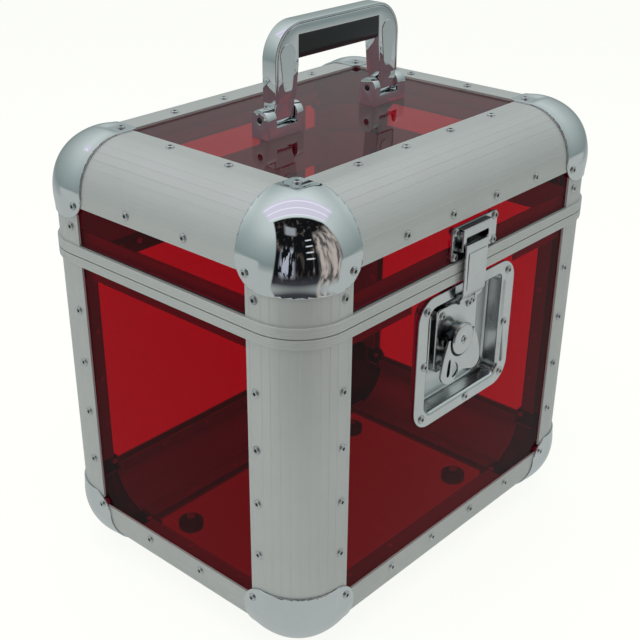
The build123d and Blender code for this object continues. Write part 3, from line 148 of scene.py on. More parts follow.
class Wires:
    """Short ways to add shader nodes to one tree and to link them."""

    def __init__(self, tree):
        self.nodes, self.links = tree.nodes, tree.links

    def put(self, socket, value):
        """Links a socket, or sets it to a plain value."""
        if isinstance(value, bpy.types.NodeSocket):
            self.links.new(value, socket)
        elif socket.type == "RGBA":
            socket.default_value = (*value, 1.0)
        else:
            socket.default_value = value

    def add(self, kind, inputs=None, **settings):
        node = self.nodes.new("ShaderNode" + kind)
        for name, value in settings.items():
            setattr(node, name, value)
        for name, value in (inputs or {}).items():
            self.put(node.inputs[name], value)
        return node

    def maths(self, operation, *values):
        node = self.add("Math", dict(enumerate(values)), operation=operation)
        return node.outputs["Value"]

    def times(self, first, second):
        return self.maths("MULTIPLY", first, second)

    def stretched(self, vector, factors):
        node = self.add("VectorMath", {0: vector, 1: factors}, operation="MULTIPLY")
        return node.outputs["Vector"]

    def blend(self, mask, first, second):
        """Colour that goes from one colour to another by a mask."""
        node = self.add("Mix", {"Factor": mask, "A": first, "B": second}, data_type="RGBA")
        return node.outputs["Result"]

    def mix(self, mask, first, second):
        """Surface that goes from one shader to another by a mask."""
        return self.add("MixShader", {"Fac": mask, 1: first, 2: second}).outputs["Shader"]

    def ranged(self, value, low, high, to_low=0.0, to_high=1.0):
        inputs = {"Value": value, "From Min": low, "From Max": high, "To Min": to_low, "To Max": to_high}
        return self.add("MapRange", inputs).outputs["Result"]

    def band(self, value, low, high, soft):
        """1 between two values of a channel, with soft ends."""
        rise = self.ranged(value, low - soft, low + soft)
        return self.times(rise, self.ranged(value, high - soft, high + soft, 1.0, 0.0))

    def in_metal(self, path):
        """1 for what is seen in metal, which rough glass must not count as."""
        mirrored = self.maths("SUBTRACT", path["Is Glossy Ray"], path["Is Transmission Ray"])
        return self.maths("MAXIMUM", mirrored, 0.0)


def grain_group():
    """Shared grain: a stretched noise, put out as a mask and as a height."""
    if "grain" in _groups:
        return _groups["grain"]
    group = bpy.data.node_groups.new("surface_grain", "ShaderNodeTree")
    for name, way, kind in (
        ("Stretch", "INPUT", "Vector"), ("Scale", "INPUT", "Float"), ("Low", "INPUT", "Float"),
        ("High", "INPUT", "Float"), ("Mask", "OUTPUT", "Float"), ("Height", "OUTPUT", "Float"),
    ):
        group.interface.new_socket(name=name, in_out=way, socket_type="NodeSocket" + kind)
    wires = Wires(group)
    inputs = group.nodes.new("NodeGroupInput").outputs
    outputs = group.nodes.new("NodeGroupOutput").inputs
    place = wires.add("TexCoord").outputs["Object"]
    noise = wires.add("TexNoise", {
        "Vector": wires.stretched(place, inputs["Stretch"]), "Scale": inputs["Scale"],
        "Detail": 5.0, "Roughness": 0.6,
    }).outputs["Fac"]
    wires.put(outputs["Mask"], wires.ranged(noise, inputs["Low"], inputs["High"]))
    wires.put(outputs["Height"], noise)
    _groups["grain"] = group
    return group


class Finish(Wires):
    """A material with a Principled shader, and short ways to link grain into it."""

    def __init__(self, name, color, roughness, metallic=0.0):
        self.material = bpy.data.materials.new(name)
        self.material.use_nodes = True
        super().__init__(self.material.node_tree)
        self.nodes.clear()
        self.surface = self.add("OutputMaterial").inputs["Surface"]
        self.shader = self.add(
            "BsdfPrincipled", {"Base Color": color, "Roughness": roughness, "Metallic": metallic}
        )
        self.body = self.shader.outputs["BSDF"]
        self.put(self.surface, self.body)
        self.material.diffuse_color = (*color, 1.0)
        _materials[name] = self.material

    def set(self, socket, value):
        self.put(self.shader.inputs[socket], value)

    def grain(self, scale, stretch=(1.0, 1.0, 1.0), low=0.35, high=0.65):
        """Mask and height of the shared grain with values of its own."""
        node = self.add("Group", node_tree=grain_group())
        for name, value in (("Stretch", stretch), ("Scale", scale), ("Low", low), ("High", high)):
            node.inputs[name].default_value = value
        return node.outputs["Mask"], node.outputs["Height"]

    def mottle(self, mask, first, second, smooth, rough):
        """Base colour and roughness that both go by one mask."""
        self.set("Base Color", self.blend(mask, first, second))
        self.set("Roughness", self.ranged(mask, 0.0, 1.0, smooth, rough))

    def bump(self, height, strength, distance):
        inputs = {"Strength": strength, "Distance": distance, "Height": height}
        self.set("Normal", self.add("Bump", inputs).outputs["Normal"])


def shade(color, factor):
    return tuple(channel * factor for channel in color)


def finish_color(name):
    return tuple(getattr(bpy.context.scene.case_finish, name))


def red_acrylic(name="red_acrylic", index=1.14):
    """Clear red sheet with dust and faint smears; it lets plain light through to the inside."""
    if name in _materials:
        return _materials[name]
    tint = finish_color("acrylic")
    finish = Finish(name, tint, 0.015)
    finish.set("Transmission Weight", 1.0)
    finish.set("IOR", index)
    smears, _ = finish.grain(9.0, low=0.45, high=0.75)
    finish.mottle(smears, tint, shade(tint, 0.97), 0.0, 0.03)
    path = finish.add("LightPath").outputs
    clear = finish.add("BsdfTransparent", {"Color": tint}).outputs["BSDF"]
    plain_light = finish.maths("MAXIMUM", path["Is Shadow Ray"], path["Is Diffuse Ray"])
    sheet = finish.mix(plain_light, finish.body, clear)
    # In metal the sheet shows as a painted reflection: a dull haze of emitted colour, which is a look and no
    # light of its own.
    haze = finish.add("Emission", {"Color": (0.16, 0.10, 0.115)}).outputs["Emission"]
    share = finish.times(finish.in_metal(path), 0.7)
    finish.put(finish.surface, finish.mix(share, sheet, haze))
    return finish.material


def satin_metal(axis):
    """Satin profile metal, brushed along one axis of the case."""
    name = "satin_" + axis
    if name in _materials:
        return _materials[name]
    color = finish_color("satin")
    finish = Finish(name, color, 0.42, 0.55)
    stretch = {"x": (0.02, 1, 1), "y": (1, 0.02, 1), "z": (1, 1, 0.02), "xy": (0.3, 0.3, 1)}[axis]
    brushed, height = finish.grain(900.0, stretch, 0.2, 0.8)
    cloud, _ = finish.grain(14.0, low=0.35, high=0.7)
    worn = finish.maths("MULTIPLY_ADD", brushed, 0.45, finish.times(cloud, 0.55))
    finish.mottle(worn, color, shade(color, 0.93), 0.36, 0.47)
    finish.bump(height, 0.05, 0.0003)
    return finish.material


def bright_metal(name, color, roughness, haze=0.04, speck=0.96, painted_hollow_shade=False):
    """Polished or plated metal with a faint haze; with the last switch on, its base colour is painted darker
    where parts lie close together, as painted shade in the hollows.
    """
    if name in _materials:
        return _materials[name]
    finish = Finish(name, color, roughness, 1.0)
    clouds, _ = finish.grain(26.0, low=0.4, high=0.7)
    finish.mottle(clouds, color, shade(color, speck), roughness, roughness + haze)
    if painted_hollow_shade:
        # Painted shade: an occlusion mask darkens the base colour in hollows and between parts.
        plain = finish.shader.inputs["Base Color"].links[0].from_socket
        hollow = finish.add("AmbientOcclusion", {"Distance": 0.011}, samples=6).outputs["AO"]
        finish.set("Base Color", finish.blend(finish.ranged(hollow, 0.25, 0.85), (0.10, 0.11, 0.11), plain))
    return finish.material


def chrome():
    return bright_metal("chrome", finish_color("chrome"), 0.025, 0.02)


def bright_plate():
    # The plated latch metal has painted shade in its hollows.
    return bright_metal("bright_plate", finish_color("plate"), 0.17, 0.08, 0.9, painted_hollow_shade=True)


def rivet_metal():
    return bright_metal("rivet_metal", shade(finish_color("plate"), 0.95), 0.3, 0.08, 0.7)


def rivet_core():
    return bright_metal("rivet_core", (0.26, 0.27, 0.27), 0.4, 0.1, 0.6)


def dark_pin():
    return bright_metal("dark_pin", (0.09, 0.10, 0.11), 0.28, 0.08, 0.7)


def soft_black(name, color, roughness, scale):
    """Black grip plastic or rubber with a fine grain."""
    if name in _materials:
        return _materials[name]
    finish = Finish(name, color, roughness)
    fine, height = finish.grain(scale, low=0.4, high=0.6)
    finish.mottle(fine, color, shade(color, 1.6), roughness - 0.06, roughness + 0.06)
    finish.bump(height, 0.25, 0.0002)
    return finish.material


def black_grip():
    return soft_black("black_grip", finish_color("grip"), 0.38, 1400.0)


def black_rubber():
    return soft_black("black_rubber", finish_color("rubber"), 0.62, 900.0)


# --- Modelling helpers ------------------------------------------------------------------------------


def finish_piece(bm, name, body, materials, nodes=(), crease=35.0, closed=True):
    """Turns a mesh in millimetres into a piece that rides on a body and stands for its CAD nodes."""
    bmesh.ops.remove_doubles(bm, verts=bm.verts, dist=0.001)
    if closed:
        bmesh.ops.recalc_face_normals(bm, faces=bm.faces)
    bmesh.ops.scale(bm, vec=(MM, MM, MM), verts=bm.verts)
    mesh = bpy.data.meshes.new(name)
    bm.to_mesh(mesh)
    bm.free()
    for material in materials:
        mesh.materials.append(material)
    mesh.shade_smooth()
    mesh.set_sharp_from_angle(angle=math.radians(crease))
    piece = bpy.data.objects.new(name, mesh)
    bpy.context.scene.collection.objects.link(piece)
    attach(piece, body)
    if nodes:
        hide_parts(*nodes)
    return piece


def node_mesh(node):
    """A merged copy of a CAD node's mesh, in millimetres."""
    bm = bmesh.new()
    bm.from_mesh(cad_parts[node].data)
    bmesh.ops.scale(bm, vec=(1 / MM, 1 / MM, 1 / MM), verts=bm.verts)
    bmesh.ops.remove_doubles(bm, verts=bm.verts, dist=0.003)
    return bm


def eased_copy(node, name, body, material, edge=0.3, segments=2, crease=35.0, sharp=32.0):
    """A copy of a CAD node with its sharp edges eased."""
    bm = node_mesh(node)
    bmesh.ops.dissolve_limit(bm, angle_limit=math.radians(1.5), verts=bm.verts, edges=bm.edges)
    edges = [e for e in bm.edges if e.is_manifold and e.calc_face_angle(0.0) > math.radians(sharp)]
    bevel_edges(bm, edges, edge, segments)
    for face in bm.faces:
        face.material_index = 0
    return finish_piece(bm, name, body, [material], [node], crease)


def frame_matrix(origin, across, up):
    """A matrix whose X runs across, Y up and Z out of a plane at an origin."""
    across, up = Vector(across), Vector(up)
    out = across.cross(up)
    matrix = Matrix((across, up, out)).transposed().to_4x4()
    matrix.translation = Vector(origin)
    return matrix


def outline(bm, points):
    """A flat face in the XY plane from a closed run of points."""
    return bm.faces.new([bm.verts.new((x, y, 0.0)) for x, y in points])


def verts_of(made):
    return [item for item in made if isinstance(item, bmesh.types.BMVert)]


def edges_of(made, verts=None):
    """Edges in a result, or only those with both ends among some vertices."""
    edges = [item for item in made if isinstance(item, bmesh.types.BMEdge)]
    return [edge for edge in edges if verts is None or all(v in verts for v in edge.verts)]


def extruded(bm, faces, vector):
    """Extrudes faces by a vector and returns the moved vertices."""
    verts = verts_of(bmesh.ops.extrude_face_region(bm, geom=faces)["geom"])
    bmesh.ops.translate(bm, vec=vector, verts=verts)
    return verts


def add_part(bm, part, matrix):
    """Adds a finished part to a mesh, turned into its place."""
    part.transform(matrix)
    mesh = bpy.data.meshes.new("part")
    part.to_mesh(mesh)
    part.free()
    bm.from_mesh(mesh)
    bpy.data.meshes.remove(mesh)


def bevel_edges(bm, edges, offset, segments=3):
    return bmesh.ops.bevel(
        bm, geom=edges, offset=offset, offset_type="OFFSET", segments=segments, profile=0.5,
        affect="EDGES", material=-1, clamp_overlap=True, loop_slide=True,
    )


def arc_points(centre, radius, start, end, steps):
    """Points on an arc between two angles in degrees, both ends included."""
    angles = [math.radians(start + (end - start) * step / steps) for step in range(steps + 1)]
    return [(centre[0] + radius * math.cos(a), centre[1] + radius * math.sin(a)) for a in angles]


def rounded_rectangle(left, low, right, high, radius, steps=6):
    """Closed run of points round a rectangle with rounded corners."""
    points = []
    corners = ((right, high, 0), (left, high, 90), (left, low, 180), (right, low, 270))
    for x, y, turn in corners:
        in_x = math.copysign(radius, x - (left + right) / 2)
        in_y = math.copysign(radius, y - (low + high) / 2)
        centre = (x - in_x, y - in_y)
        points += arc_points(centre, radius, turn, turn + 90, steps)
    return points


# --- Profiles and rims ------------------------------------------------------------------------------

WALL = 1.8
WEB_WALL = 1.2
LIP_DEPTH = (5.8, 7.0)
PANEL_INSET = 36.0
LIP_SHORT = 3.5
LINE_SETBACK = 3.2
LEG_LEVEL = 53.5
LEG_FACE = 47.5
LEG_UPRIGHT = 50.5


def lined_path(settings, first_leg, second_leg):
    """Outer line of a profile's section, with fine lines pressed into its curve and its legs."""
    width, depth = settings.line_width / MM, settings.line_depth / MM
    points = [(first_leg, 0.0)]
    line = first_leg - LINE_SETBACK
    points += [(line + width / 2, 0.0), (line, depth), (line - width / 2, 0.0)]
    half = math.degrees(width / 2 / EDGE_RADIUS)
    pitch = 90.0 / settings.line_count
    angles = [0.0]
    for index in range(settings.line_count):
        middle = pitch * (index + 0.5)
        angles += [middle - pitch / 4, (middle, half), middle + pitch / 4, pitch * (index + 1)]

    def at(angle, radius=EDGE_RADIUS):
        turn = math.radians(angle)
        return EDGE_RADIUS - radius * math.sin(turn), EDGE_RADIUS - radius * math.cos(turn)

    for angle in angles:
        if isinstance(angle, tuple):
            middle, half = angle
            points += [at(middle - half), at(middle, EDGE_RADIUS - depth), at(middle + half)]
        else:
            points.append(at(angle))
    line = second_leg - LINE_SETBACK
    points += [(0.0, line - width / 2), (depth, line), (0.0, line + width / 2)]
    points.append((0.0, second_leg))
    return points


def profile_section(settings, first_leg, second_leg):
    """Closed section of an edge profile, with the case's sharp corner at the origin."""
    web = PANEL_INSET - WEB_WALL
    near, far = LIP_DEPTH
    inside = [
        (WALL, second_leg), (WALL, PANEL_INSET), (near, PANEL_INSET), (near, second_leg - LIP_SHORT),
        (far, second_leg - LIP_SHORT), (far, web), (WALL + 0.3, web),
    ]
    radius = EDGE_RADIUS - 1.5
    inside += [
        (EDGE_RADIUS - x, EDGE_RADIUS - y)
        for x, y in arc_points((0, 0), radius, 10, 80, 8)
    ]
    inside += [
        (web, WALL + 0.3), (web, far), (first_leg - LIP_SHORT, far), (first_leg - LIP_SHORT, near),
        (PANEL_INSET, near), (PANEL_INSET, WALL), (first_leg, WALL),
    ]
    return lined_path(settings, first_leg, second_leg) + inside


def lined_bar(bm, section, origin, first, second, length):
    """Extrudes a section evenly about its origin and turns it into place."""
    part = bmesh.new()
    face = outline(part, [(x, y) for x, y in section])
    bmesh.ops.translate(part, vec=(0, 0, -length / 2), verts=part.verts)
    extruded(part, [face], (0, 0, length))
    add_part(bm, part, frame_matrix(origin, first, second))


class CASE_OT_profiles(bpy.types.Operator):
    """Edge profiles of the base and the lid, with their fine pressed lines"""

    bl_idname = "case.profiles"
    bl_label = "Edge Profiles"

    def execute(self, context):
        settings = context.scene.case_edges
        edges = {
            "front": ((0, -HALF_DEPTH), (0, 1, 0), "x"),
            "back": ((0, HALF_DEPTH), (0, -1, 0), "x"),
            "left": ((-HALF_WIDTH, 0), (1, 0, 0), "y"),
            "right": ((HALF_WIDTH, 0), (-1, 0, 0), "y"),
        }
        for prefix, height, upward in (("base", BOTTOM, 1), ("lid", TOP, -1)):
            for side, ((x, y), inward, axis) in edges.items():
                low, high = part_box(f"{prefix}_profile_{side}")
                length = (high - low)["xyz".index(axis)] / MM
                bm = bmesh.new()
                section = profile_section(settings, LEG_LEVEL, LEG_FACE)
                lined_bar(bm, section, (x, y, height), inward, (0, 0, upward), length)
                finish_piece(
                    bm, f"{prefix}_edge_{side}", prefix, [satin_metal(axis)],
                    [f"{prefix}_profile_{side}"], 22.0,
                )
        section = profile_section(settings, LEG_UPRIGHT, LEG_UPRIGHT)
        uprights = {"lid": bmesh.new()}
        for x_name, sx in (("left", -1), ("right", 1)):
            for y_name, sy in (("front", -1), ("back", 1)):
                corner = (sx * HALF_WIDTH, sy * HALF_DEPTH)
                for prefix, node in (
                    ("base", f"base_upright_{y_name}_{x_name}"),
                    ("lid", "lid_uprights"),
                ):
                    low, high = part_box(node)
                    middle = (low.z + high.z) / 2 / MM
                    length = (high.z - low.z) / MM
                    bm = uprights.get(prefix) or bmesh.new()
                    lined_bar(bm, section, (*corner, middle), (-sx, 0, 0), (0, -sy, 0), length)
                    if prefix == "base":
                        finish_piece(
                            bm, f"base_corner_{y_name}_{x_name}", "base",
                            [satin_metal("z")], [node], 22.0,
                        )
        finish_piece(
            uprights["lid"], "lid_corners", "lid", [satin_metal("z")],
            ["lid_uprights"], 22.0,
        )
        return {"FINISHED"}


def ring_sweep(bm, section, steps=10):
    """Sweeps a section, given as distances out of the faces and heights, round the case."""
    run_x, run_y = HALF_WIDTH - EDGE_RADIUS, HALF_DEPTH - EDGE_RADIUS
    verts = [bm.verts.new((-run_x, -HALF_DEPTH - out, height)) for out, height in section]
    edges = [bm.edges.new((a, b)) for a, b in zip(verts, verts[1:] + verts[:1])]
    sides = (
        ((2 * run_x, 0, 0), (run_x, -run_y, 0)),
        ((0, 2 * run_y, 0), (run_x, run_y, 0)),
        ((-2 * run_x, 0, 0), (-run_x, run_y, 0)),
        ((0, -2 * run_y, 0), (-run_x, -run_y, 0)),
    )
    for run, centre in sides:
        made = bmesh.ops.extrude_edge_only(bm, edges=edges)["geom"]
        moved = verts_of(made)
        bmesh.ops.translate(bm, vec=run, verts=moved)
        edges = edges_of(made, moved)
        made = bmesh.ops.spin(
            bm, geom=moved + edges, cent=centre, axis=(0, 0, 1), angle=math.pi / 2, steps=steps,
            use_merge=False, use_duplicate=False,
        )["geom_last"]
        edges = edges_of(made)


def rim_outer(settings, low, high):
    """Outer line of a rim's section from one height up to another, with two fine lines."""
    width, depth = settings.line_width / MM, settings.line_depth / MM
    ease, gap, sink = 0.5, 0.45, 1.4
    points = [(RIM_PROUD - ease, low), (RIM_PROUD, low + ease)]
    if low == PARTING:
        points = [(RIM_PROUD - sink, low), (RIM_PROUD - sink, low + gap), (RIM_PROUD, low + gap)]
    for share in (0.36, 0.68):
        at = low + (high - low) * share
        points += [(RIM_PROUD, at - width / 2), (RIM_PROUD - depth, at), (RIM_PROUD, at + width / 2)]
    if high == PARTING:
        return points + [(RIM_PROUD, high - gap), (RIM_PROUD - sink, high - gap), (RIM_PROUD - sink, high)]
    return points + [(RIM_PROUD, high - ease), (RIM_PROUD - ease, high)]


INNER_LEG = 11.0
LEG_PLACE = (5.9, 7.0)
DISH_GAP = (-63.0, 68.0)


def box_piece(bm, low, high, ease=0.0, segments=2):
    """A box between two corners, with eased edges."""
    made = bmesh.ops.create_cube(bm, size=1.0)["verts"]
    bmesh.ops.scale(bm, vec=[b - a for a, b in zip(low, high)], verts=made)
    bmesh.ops.translate(bm, vec=[(a + b) / 2 for a, b in zip(low, high)], verts=made)
    if ease:
        bevel_edges(bm, list({edge for vert in made for edge in vert.link_edges}), ease, segments)


def inner_legs(bm, low, high, gap=None):
    """Leg of a rim inside the panels along the four sides, left out behind a gap in front."""
    run_x, run_y = HALF_WIDTH - PANEL_INSET, HALF_DEPTH - PANEL_INSET
    near, far = LEG_PLACE
    for side in (-1, 1):
        ends = sorted((side * (HALF_WIDTH - near), side * (HALF_WIDTH - far)))
        box_piece(bm, (ends[0], -run_y, low), (ends[1], run_y, high))
        ends = sorted((side * (HALF_DEPTH - near), side * (HALF_DEPTH - far)))
        runs = [(-run_x, gap[0]), (gap[1], run_x)] if gap and side < 0 else [(-run_x, run_x)]
        for left, right in runs:
            box_piece(bm, (left, ends[0], low), (right, ends[1], high))


class CASE_OT_rims(bpy.types.Operator):
    """Closure rims round the base and the lid, with the base's tongue and the lid's groove"""

    bl_idname = "case.rims"
    bl_label = "Closure Rims"

    def execute(self, context):
        settings = context.scene.case_edges
        low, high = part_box("base_rim")
        rim_low = low.z / MM
        tongue = (-4.6, -3.0)
        section = [(-7.0, rim_low)] + rim_outer(settings, rim_low, PARTING)
        section += [
            (tongue[1], PARTING), (tongue[1], high.z / MM), (tongue[0], high.z / MM),
            (tongue[0], PARTING), (-7.0, PARTING),
        ]
        bm = bmesh.new()
        ring_sweep(bm, section)
        inner_legs(bm, rim_low - INNER_LEG, rim_low, DISH_GAP)
        finish_piece(
            bm, "base_closure_rim", "base", [satin_metal("xy")], ["base_rim"], 22.0
        )
        rim_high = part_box("lid_rim")[1].z / MM
        groove = PARTING + 3.6
        section = [(-7.0, PARTING), (-5.8, PARTING), (-5.8, groove), (-1.8, groove), (-1.8, PARTING)]
        section += rim_outer(settings, PARTING, rim_high) + [(-7.0, rim_high)]
        bm = bmesh.new()
        ring_sweep(bm, section)
        inner_legs(bm, rim_high, rim_high + INNER_LEG)
        finish_piece(
            bm, "lid_closure_rim", "lid", [satin_metal("xy")], ["lid_rim"], 22.0
        )
        return {"FINISHED"}


# --- Ball corners -----------------------------------------------------------------------------------

CAP_REACH = 58.0
CAP_OUT = 1.3
CAP_WALL = 1.2
BALL_INSET = 44.0
BALL_RADIUS = 47.6
EAR_CREASE = 38.0
EAR_MARGIN = 6.5
SOFTEN = 0.5


def block_depth(point):
    """Signed distance outside the case's rounded corner, grown by the cap."""
    radius = EDGE_RADIUS + CAP_OUT
    past = [max(EDGE_RADIUS - c, 0.0) for c in point]
    return math.sqrt(sum(p * p for p in past)) - radius


def block_reach(direction):
    """How far the rounded corner's skin lies from the ball's middle in a direction."""
    near, far = 0.0, 2.0 * BALL_RADIUS
    for _ in range(26):
        middle = (near + far) / 2
        point = [BALL_INSET + middle * d for d in direction]
        if block_depth(point) > 0:
            far = middle
        else:
            near = middle
    return near


def cap_reach(direction):
    """How far the cap's skin lies from the ball's middle, with a soft crease beside the ears."""
    block = block_reach(direction)
    rise = BALL_RADIUS - block
    blended = block + (rise + math.sqrt(rise * rise + SOFTEN)) / 2
    point = sorted(BALL_INSET + block * d for d in direction)
    share = min(max((point[1] - EAR_CREASE + 3.5) / 7.0, 0.0), 1.0)
    share = share * share * (3 - 2 * share)
    return blended + (block - blended) * share


def round_ear(bm, axes, ear_sum):
    """Rounds the outer corner of an ear with cuts along a circle."""
    radius = (2 * CAP_REACH - ear_sum) / (2 - math.sqrt(2))
    first, second = axes
    third = 3 - first - second
    for step in range(1, 8):
        turn = math.radians(90.0 * step / 8)
        normal = [0.0, 0.0, 0.0]
        normal[first], normal[second] = math.cos(turn), math.sin(turn)
        point = [0.0, 0.0, 0.0]
        point[first] = CAP_REACH - radius + radius * math.cos(turn)
        point[second] = CAP_REACH - radius + radius * math.sin(turn)
        near = [f for f in bm.faces if all(v.co[third] < 12 for v in f.verts)]
        geom = set(near) | {e for f in near for e in f.edges} | {v for f in near for v in f.verts}
        bmesh.ops.bisect_plane(
            bm, geom=list(geom), dist=0.0001, plane_co=point, plane_no=normal, clear_outer=True
        )


def cap_mesh(cuts):
    """The ball corner at the lowest front left of the case, before its thickness."""
    low, high = -CAP_OUT, CAP_REACH + 10.0
    bm = bmesh.new()
    bmesh.ops.create_cube(bm, size=1.0)
    bmesh.ops.translate(bm, vec=(0.5, 0.5, 0.5), verts=bm.verts)
    bmesh.ops.scale(bm, vec=(high - low,) * 3, verts=bm.verts)
    bmesh.ops.translate(bm, vec=(low, low, low), verts=bm.verts)
    far = [f for f in bm.faces if max(f.normal) > 0.5]
    bmesh.ops.delete(bm, geom=far, context="FACES")
    bmesh.ops.subdivide_edges(bm, edges=bm.edges[:], cuts=cuts, use_grid_fill=True)
    middle = Vector((BALL_INSET,) * 3)
    for vert in bm.verts:
        direction = (vert.co - middle).normalized()
        vert.co = middle + direction * cap_reach(direction)
    for axis in range(3):
        normal = [0.0, 0.0, 0.0]
        normal[axis] = 1.0
        bmesh.ops.bisect_plane(
            bm, geom=bm.verts[:] + bm.edges[:] + bm.faces[:], dist=0.0001,
            plane_co=[CAP_REACH * n for n in normal], plane_no=normal, clear_outer=True,
        )
    face_sum = LEG_FACE + LEG_UPRIGHT + EAR_MARGIN
    level_sum = 2 * LEG_LEVEL + EAR_MARGIN
    round_ear(bm, (0, 1), level_sum)
    round_ear(bm, (0, 2), face_sum)
    round_ear(bm, (1, 2), face_sum)
    bmesh.ops.remove_doubles(bm, verts=bm.verts, dist=0.001)
    return bm


class CASE_OT_caps(bpy.types.Operator):
    """Eight ball corners, with their soft creases and rounded ears"""

    bl_idname = "case.caps"
    bl_label = "Ball Corners"

    def execute(self, context):
        pattern = cap_mesh(context.scene.case_edges.cap_cuts)
        bmesh.ops.recalc_face_normals(pattern, faces=pattern.faces)
        middle = Vector((BALL_INSET,) * 3)
        outward = sum((f.normal.dot(f.calc_center_median() - middle) for f in pattern.faces), 0.0)
        if outward < 0:
            bmesh.ops.reverse_faces(pattern, faces=pattern.faces)
        for prefix, height, upward in (("base", BOTTOM, 1), ("lid", TOP, -1)):
            for y_name, sy in (("front", -1), ("back", 1)):
                for x_name, sx in (("left", -1), ("right", 1)):
                    bm = pattern.copy()
                    bmesh.ops.scale(bm, vec=(-sx, -sy, upward), verts=bm.verts)
                    bmesh.ops.translate(
                        bm, vec=(sx * HALF_WIDTH, sy * HALF_DEPTH, height), verts=bm.verts
                    )
                    if -sx * -sy * upward < 0:
                        bmesh.ops.reverse_faces(bm, faces=bm.faces)
                    bmesh.ops.scale(bm, vec=(MM, MM, MM), verts=bm.verts)
                    name = f"{prefix}_ball_{y_name}_{x_name}"
                    mesh = bpy.data.meshes.new(name)
                    bm.to_mesh(mesh)
                    bm.free()
                    mesh.materials.append(chrome())
                    mesh.materials.append(dark_pin())
                    mesh.shade_smooth()
                    piece = bpy.data.objects.new(name, mesh)
                    context.scene.collection.objects.link(piece)
                    wall = piece.modifiers.new("wall", "SOLIDIFY")
                    wall.thickness = CAP_WALL * MM
                    wall.offset = -1.0
                    wall.use_even_offset = True
                    # The inner side of each ball takes the dark metal, as painted shade inside the corner.
                    wall.material_offset = 1
                    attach(piece, prefix)
                    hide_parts(f"{prefix}_cap_{y_name}_{x_name}")
        pattern.free()
        return {"FINISHED"}


# --- Rivets -----------------------------------------------------------------------------------------


def islands(bm):
    """Vertices of each loose part of a mesh."""
    left = set(bm.verts)
    while left:
        seed = left.pop()
        found, queue = [seed], [seed]
        while queue:
            for edge in queue.pop().link_edges:
                for vert in edge.verts:
                    if vert in left:
                        left.remove(vert)
                        found.append(vert)
                        queue.append(vert)
        yield found


def rivet_seats(node):
    """Middle of each rivet's head, its way out, and how far in its tail ends."""
    bm = node_mesh(node)
    seats = []
    for verts in islands(bm):
        low = Vector([min(v.co[i] for v in verts) for i in range(3)])
        high = Vector([max(v.co[i] for v in verts) for i in range(3)])
        size = high - low
        across = max(range(3), key=lambda i: -abs(size[i] - size[(i + 1) % 3]))
        axis = (across + 2) % 3
        middle = (low + high) / 2
        centre = Vector((0, 0, (BOTTOM + TOP) / 2))
        sign = 1 if middle[axis] > centre[axis] else -1
        head = middle.copy()
        head[axis] = (high if sign > 0 else low)[axis]
        tail = size[axis]
        seats.append((head, axis, sign, tail))
    bm.free()
    return seats


def rivet_shape(segments, tail):
    """A rivet along Z with its head's top at the origin: domed rim, sunk core and flared tail."""
    bm = bmesh.new()
    head = [
        (0.0, -0.8), (0.95, -0.8), (1.15, -0.15), (1.5, 0.0), (2.5, -0.12), (3.05, -0.6),
        (3.25, -1.2), (3.25, -1.5), (1.6, -1.5),
    ]
    end = [(1.6, -tail + 0.8), (2.6, -tail + 0.8), (2.6, -tail + 0.2), (2.2, -tail), (0.0, -tail)]
    points = head + end
    verts = [bm.verts.new((r, 0, z)) for r, z in points]
    edges = [bm.edges.new(pair) for pair in zip(verts, verts[1:])]
    bmesh.ops.spin(
        bm, geom=verts + edges, cent=(0, 0, 0), axis=(0, 0, 1), angle=2 * math.pi, steps=segments,
        use_merge=True, use_duplicate=False,
    )
    bmesh.ops.remove_doubles(bm, verts=bm.verts, dist=0.001)
    bmesh.ops.recalc_face_normals(bm, faces=bm.faces)
    for face in bm.faces:
        middle = face.calc_center_median()
        face.material_index = 1 if middle.xy.length < 1.3 and middle.z > -1.4 else 0
    return bm


class CASE_OT_rivets(bpy.types.Operator):
    """All hollow rivets of the base and the lid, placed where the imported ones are"""

    bl_idname = "case.rivets"
    bl_label = "Rivets"

    def execute(self, context):
        segments = context.scene.case_edges.rivet_segments
        for prefix in ("base", "lid"):
            bm = bmesh.new()
            for head, axis, sign, tail in rivet_seats(f"{prefix}_rivets"):
                part = rivet_shape(segments, tail)
                out = Vector((0, 0, 0))
                out[axis] = sign
                turn = Vector((0, 0, 1)).rotation_difference(out).to_matrix().to_4x4()
                turn.translation = head
                add_part(bm, part, turn)
            finish_piece(
                bm, f"{prefix}_rivet_heads", prefix, [rivet_metal(), rivet_core()],
                [f"{prefix}_rivets"], 40.0,
            )
        return {"FINISHED"}


# --- Panels, feet and hinges ------------------------------------------------------------------------


class CASE_OT_panels(bpy.types.Operator):
    """Clear red panels of the base and the lid"""

    bl_idname = "case.panels"
    bl_label = "Clear Panels"

    def execute(self, context):
        for name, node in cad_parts.items():
            if "_panel_" in name:
                node.data.materials.clear()
                top = name.endswith("_top")
                node.data.materials.append(red_acrylic("red_acrylic_top", 1.36) if top else red_acrylic())
        return {"FINISHED"}


# Dark strips round the windows stand for a seal and for painted shade in the gap where each sheet runs into
# its profile.
SEAL_AND_SHADOW_WIDTH = 0.9
SEAL_AND_SHADOW_PLACE = (1.25, 1.9)


def seal_and_shadow_frame(bm, axis, side, spans):
    """Four thin strips round an opening on the side of the case that faces along an axis."""
    limit = {0: HALF_WIDTH, 1: HALF_DEPTH}.get(axis)
    if limit is None:
        depths = sorted(TOP - place for place in SEAL_AND_SHADOW_PLACE)
    else:
        depths = sorted(side * (limit - place) for place in SEAL_AND_SHADOW_PLACE)
    others = [item for item in range(3) if item != axis]
    for across, along in (others, others[::-1]):
        for end in (0, 1):
            low, high = [0.0] * 3, [0.0] * 3
            low[axis], high[axis] = depths
            low[along], high[along] = spans[along]
            edge = spans[across][end]
            low[across], high[across] = sorted((edge, edge + (-SEAL_AND_SHADOW_WIDTH if end else SEAL_AND_SHADOW_WIDTH)))
            box_piece(bm, low, high)


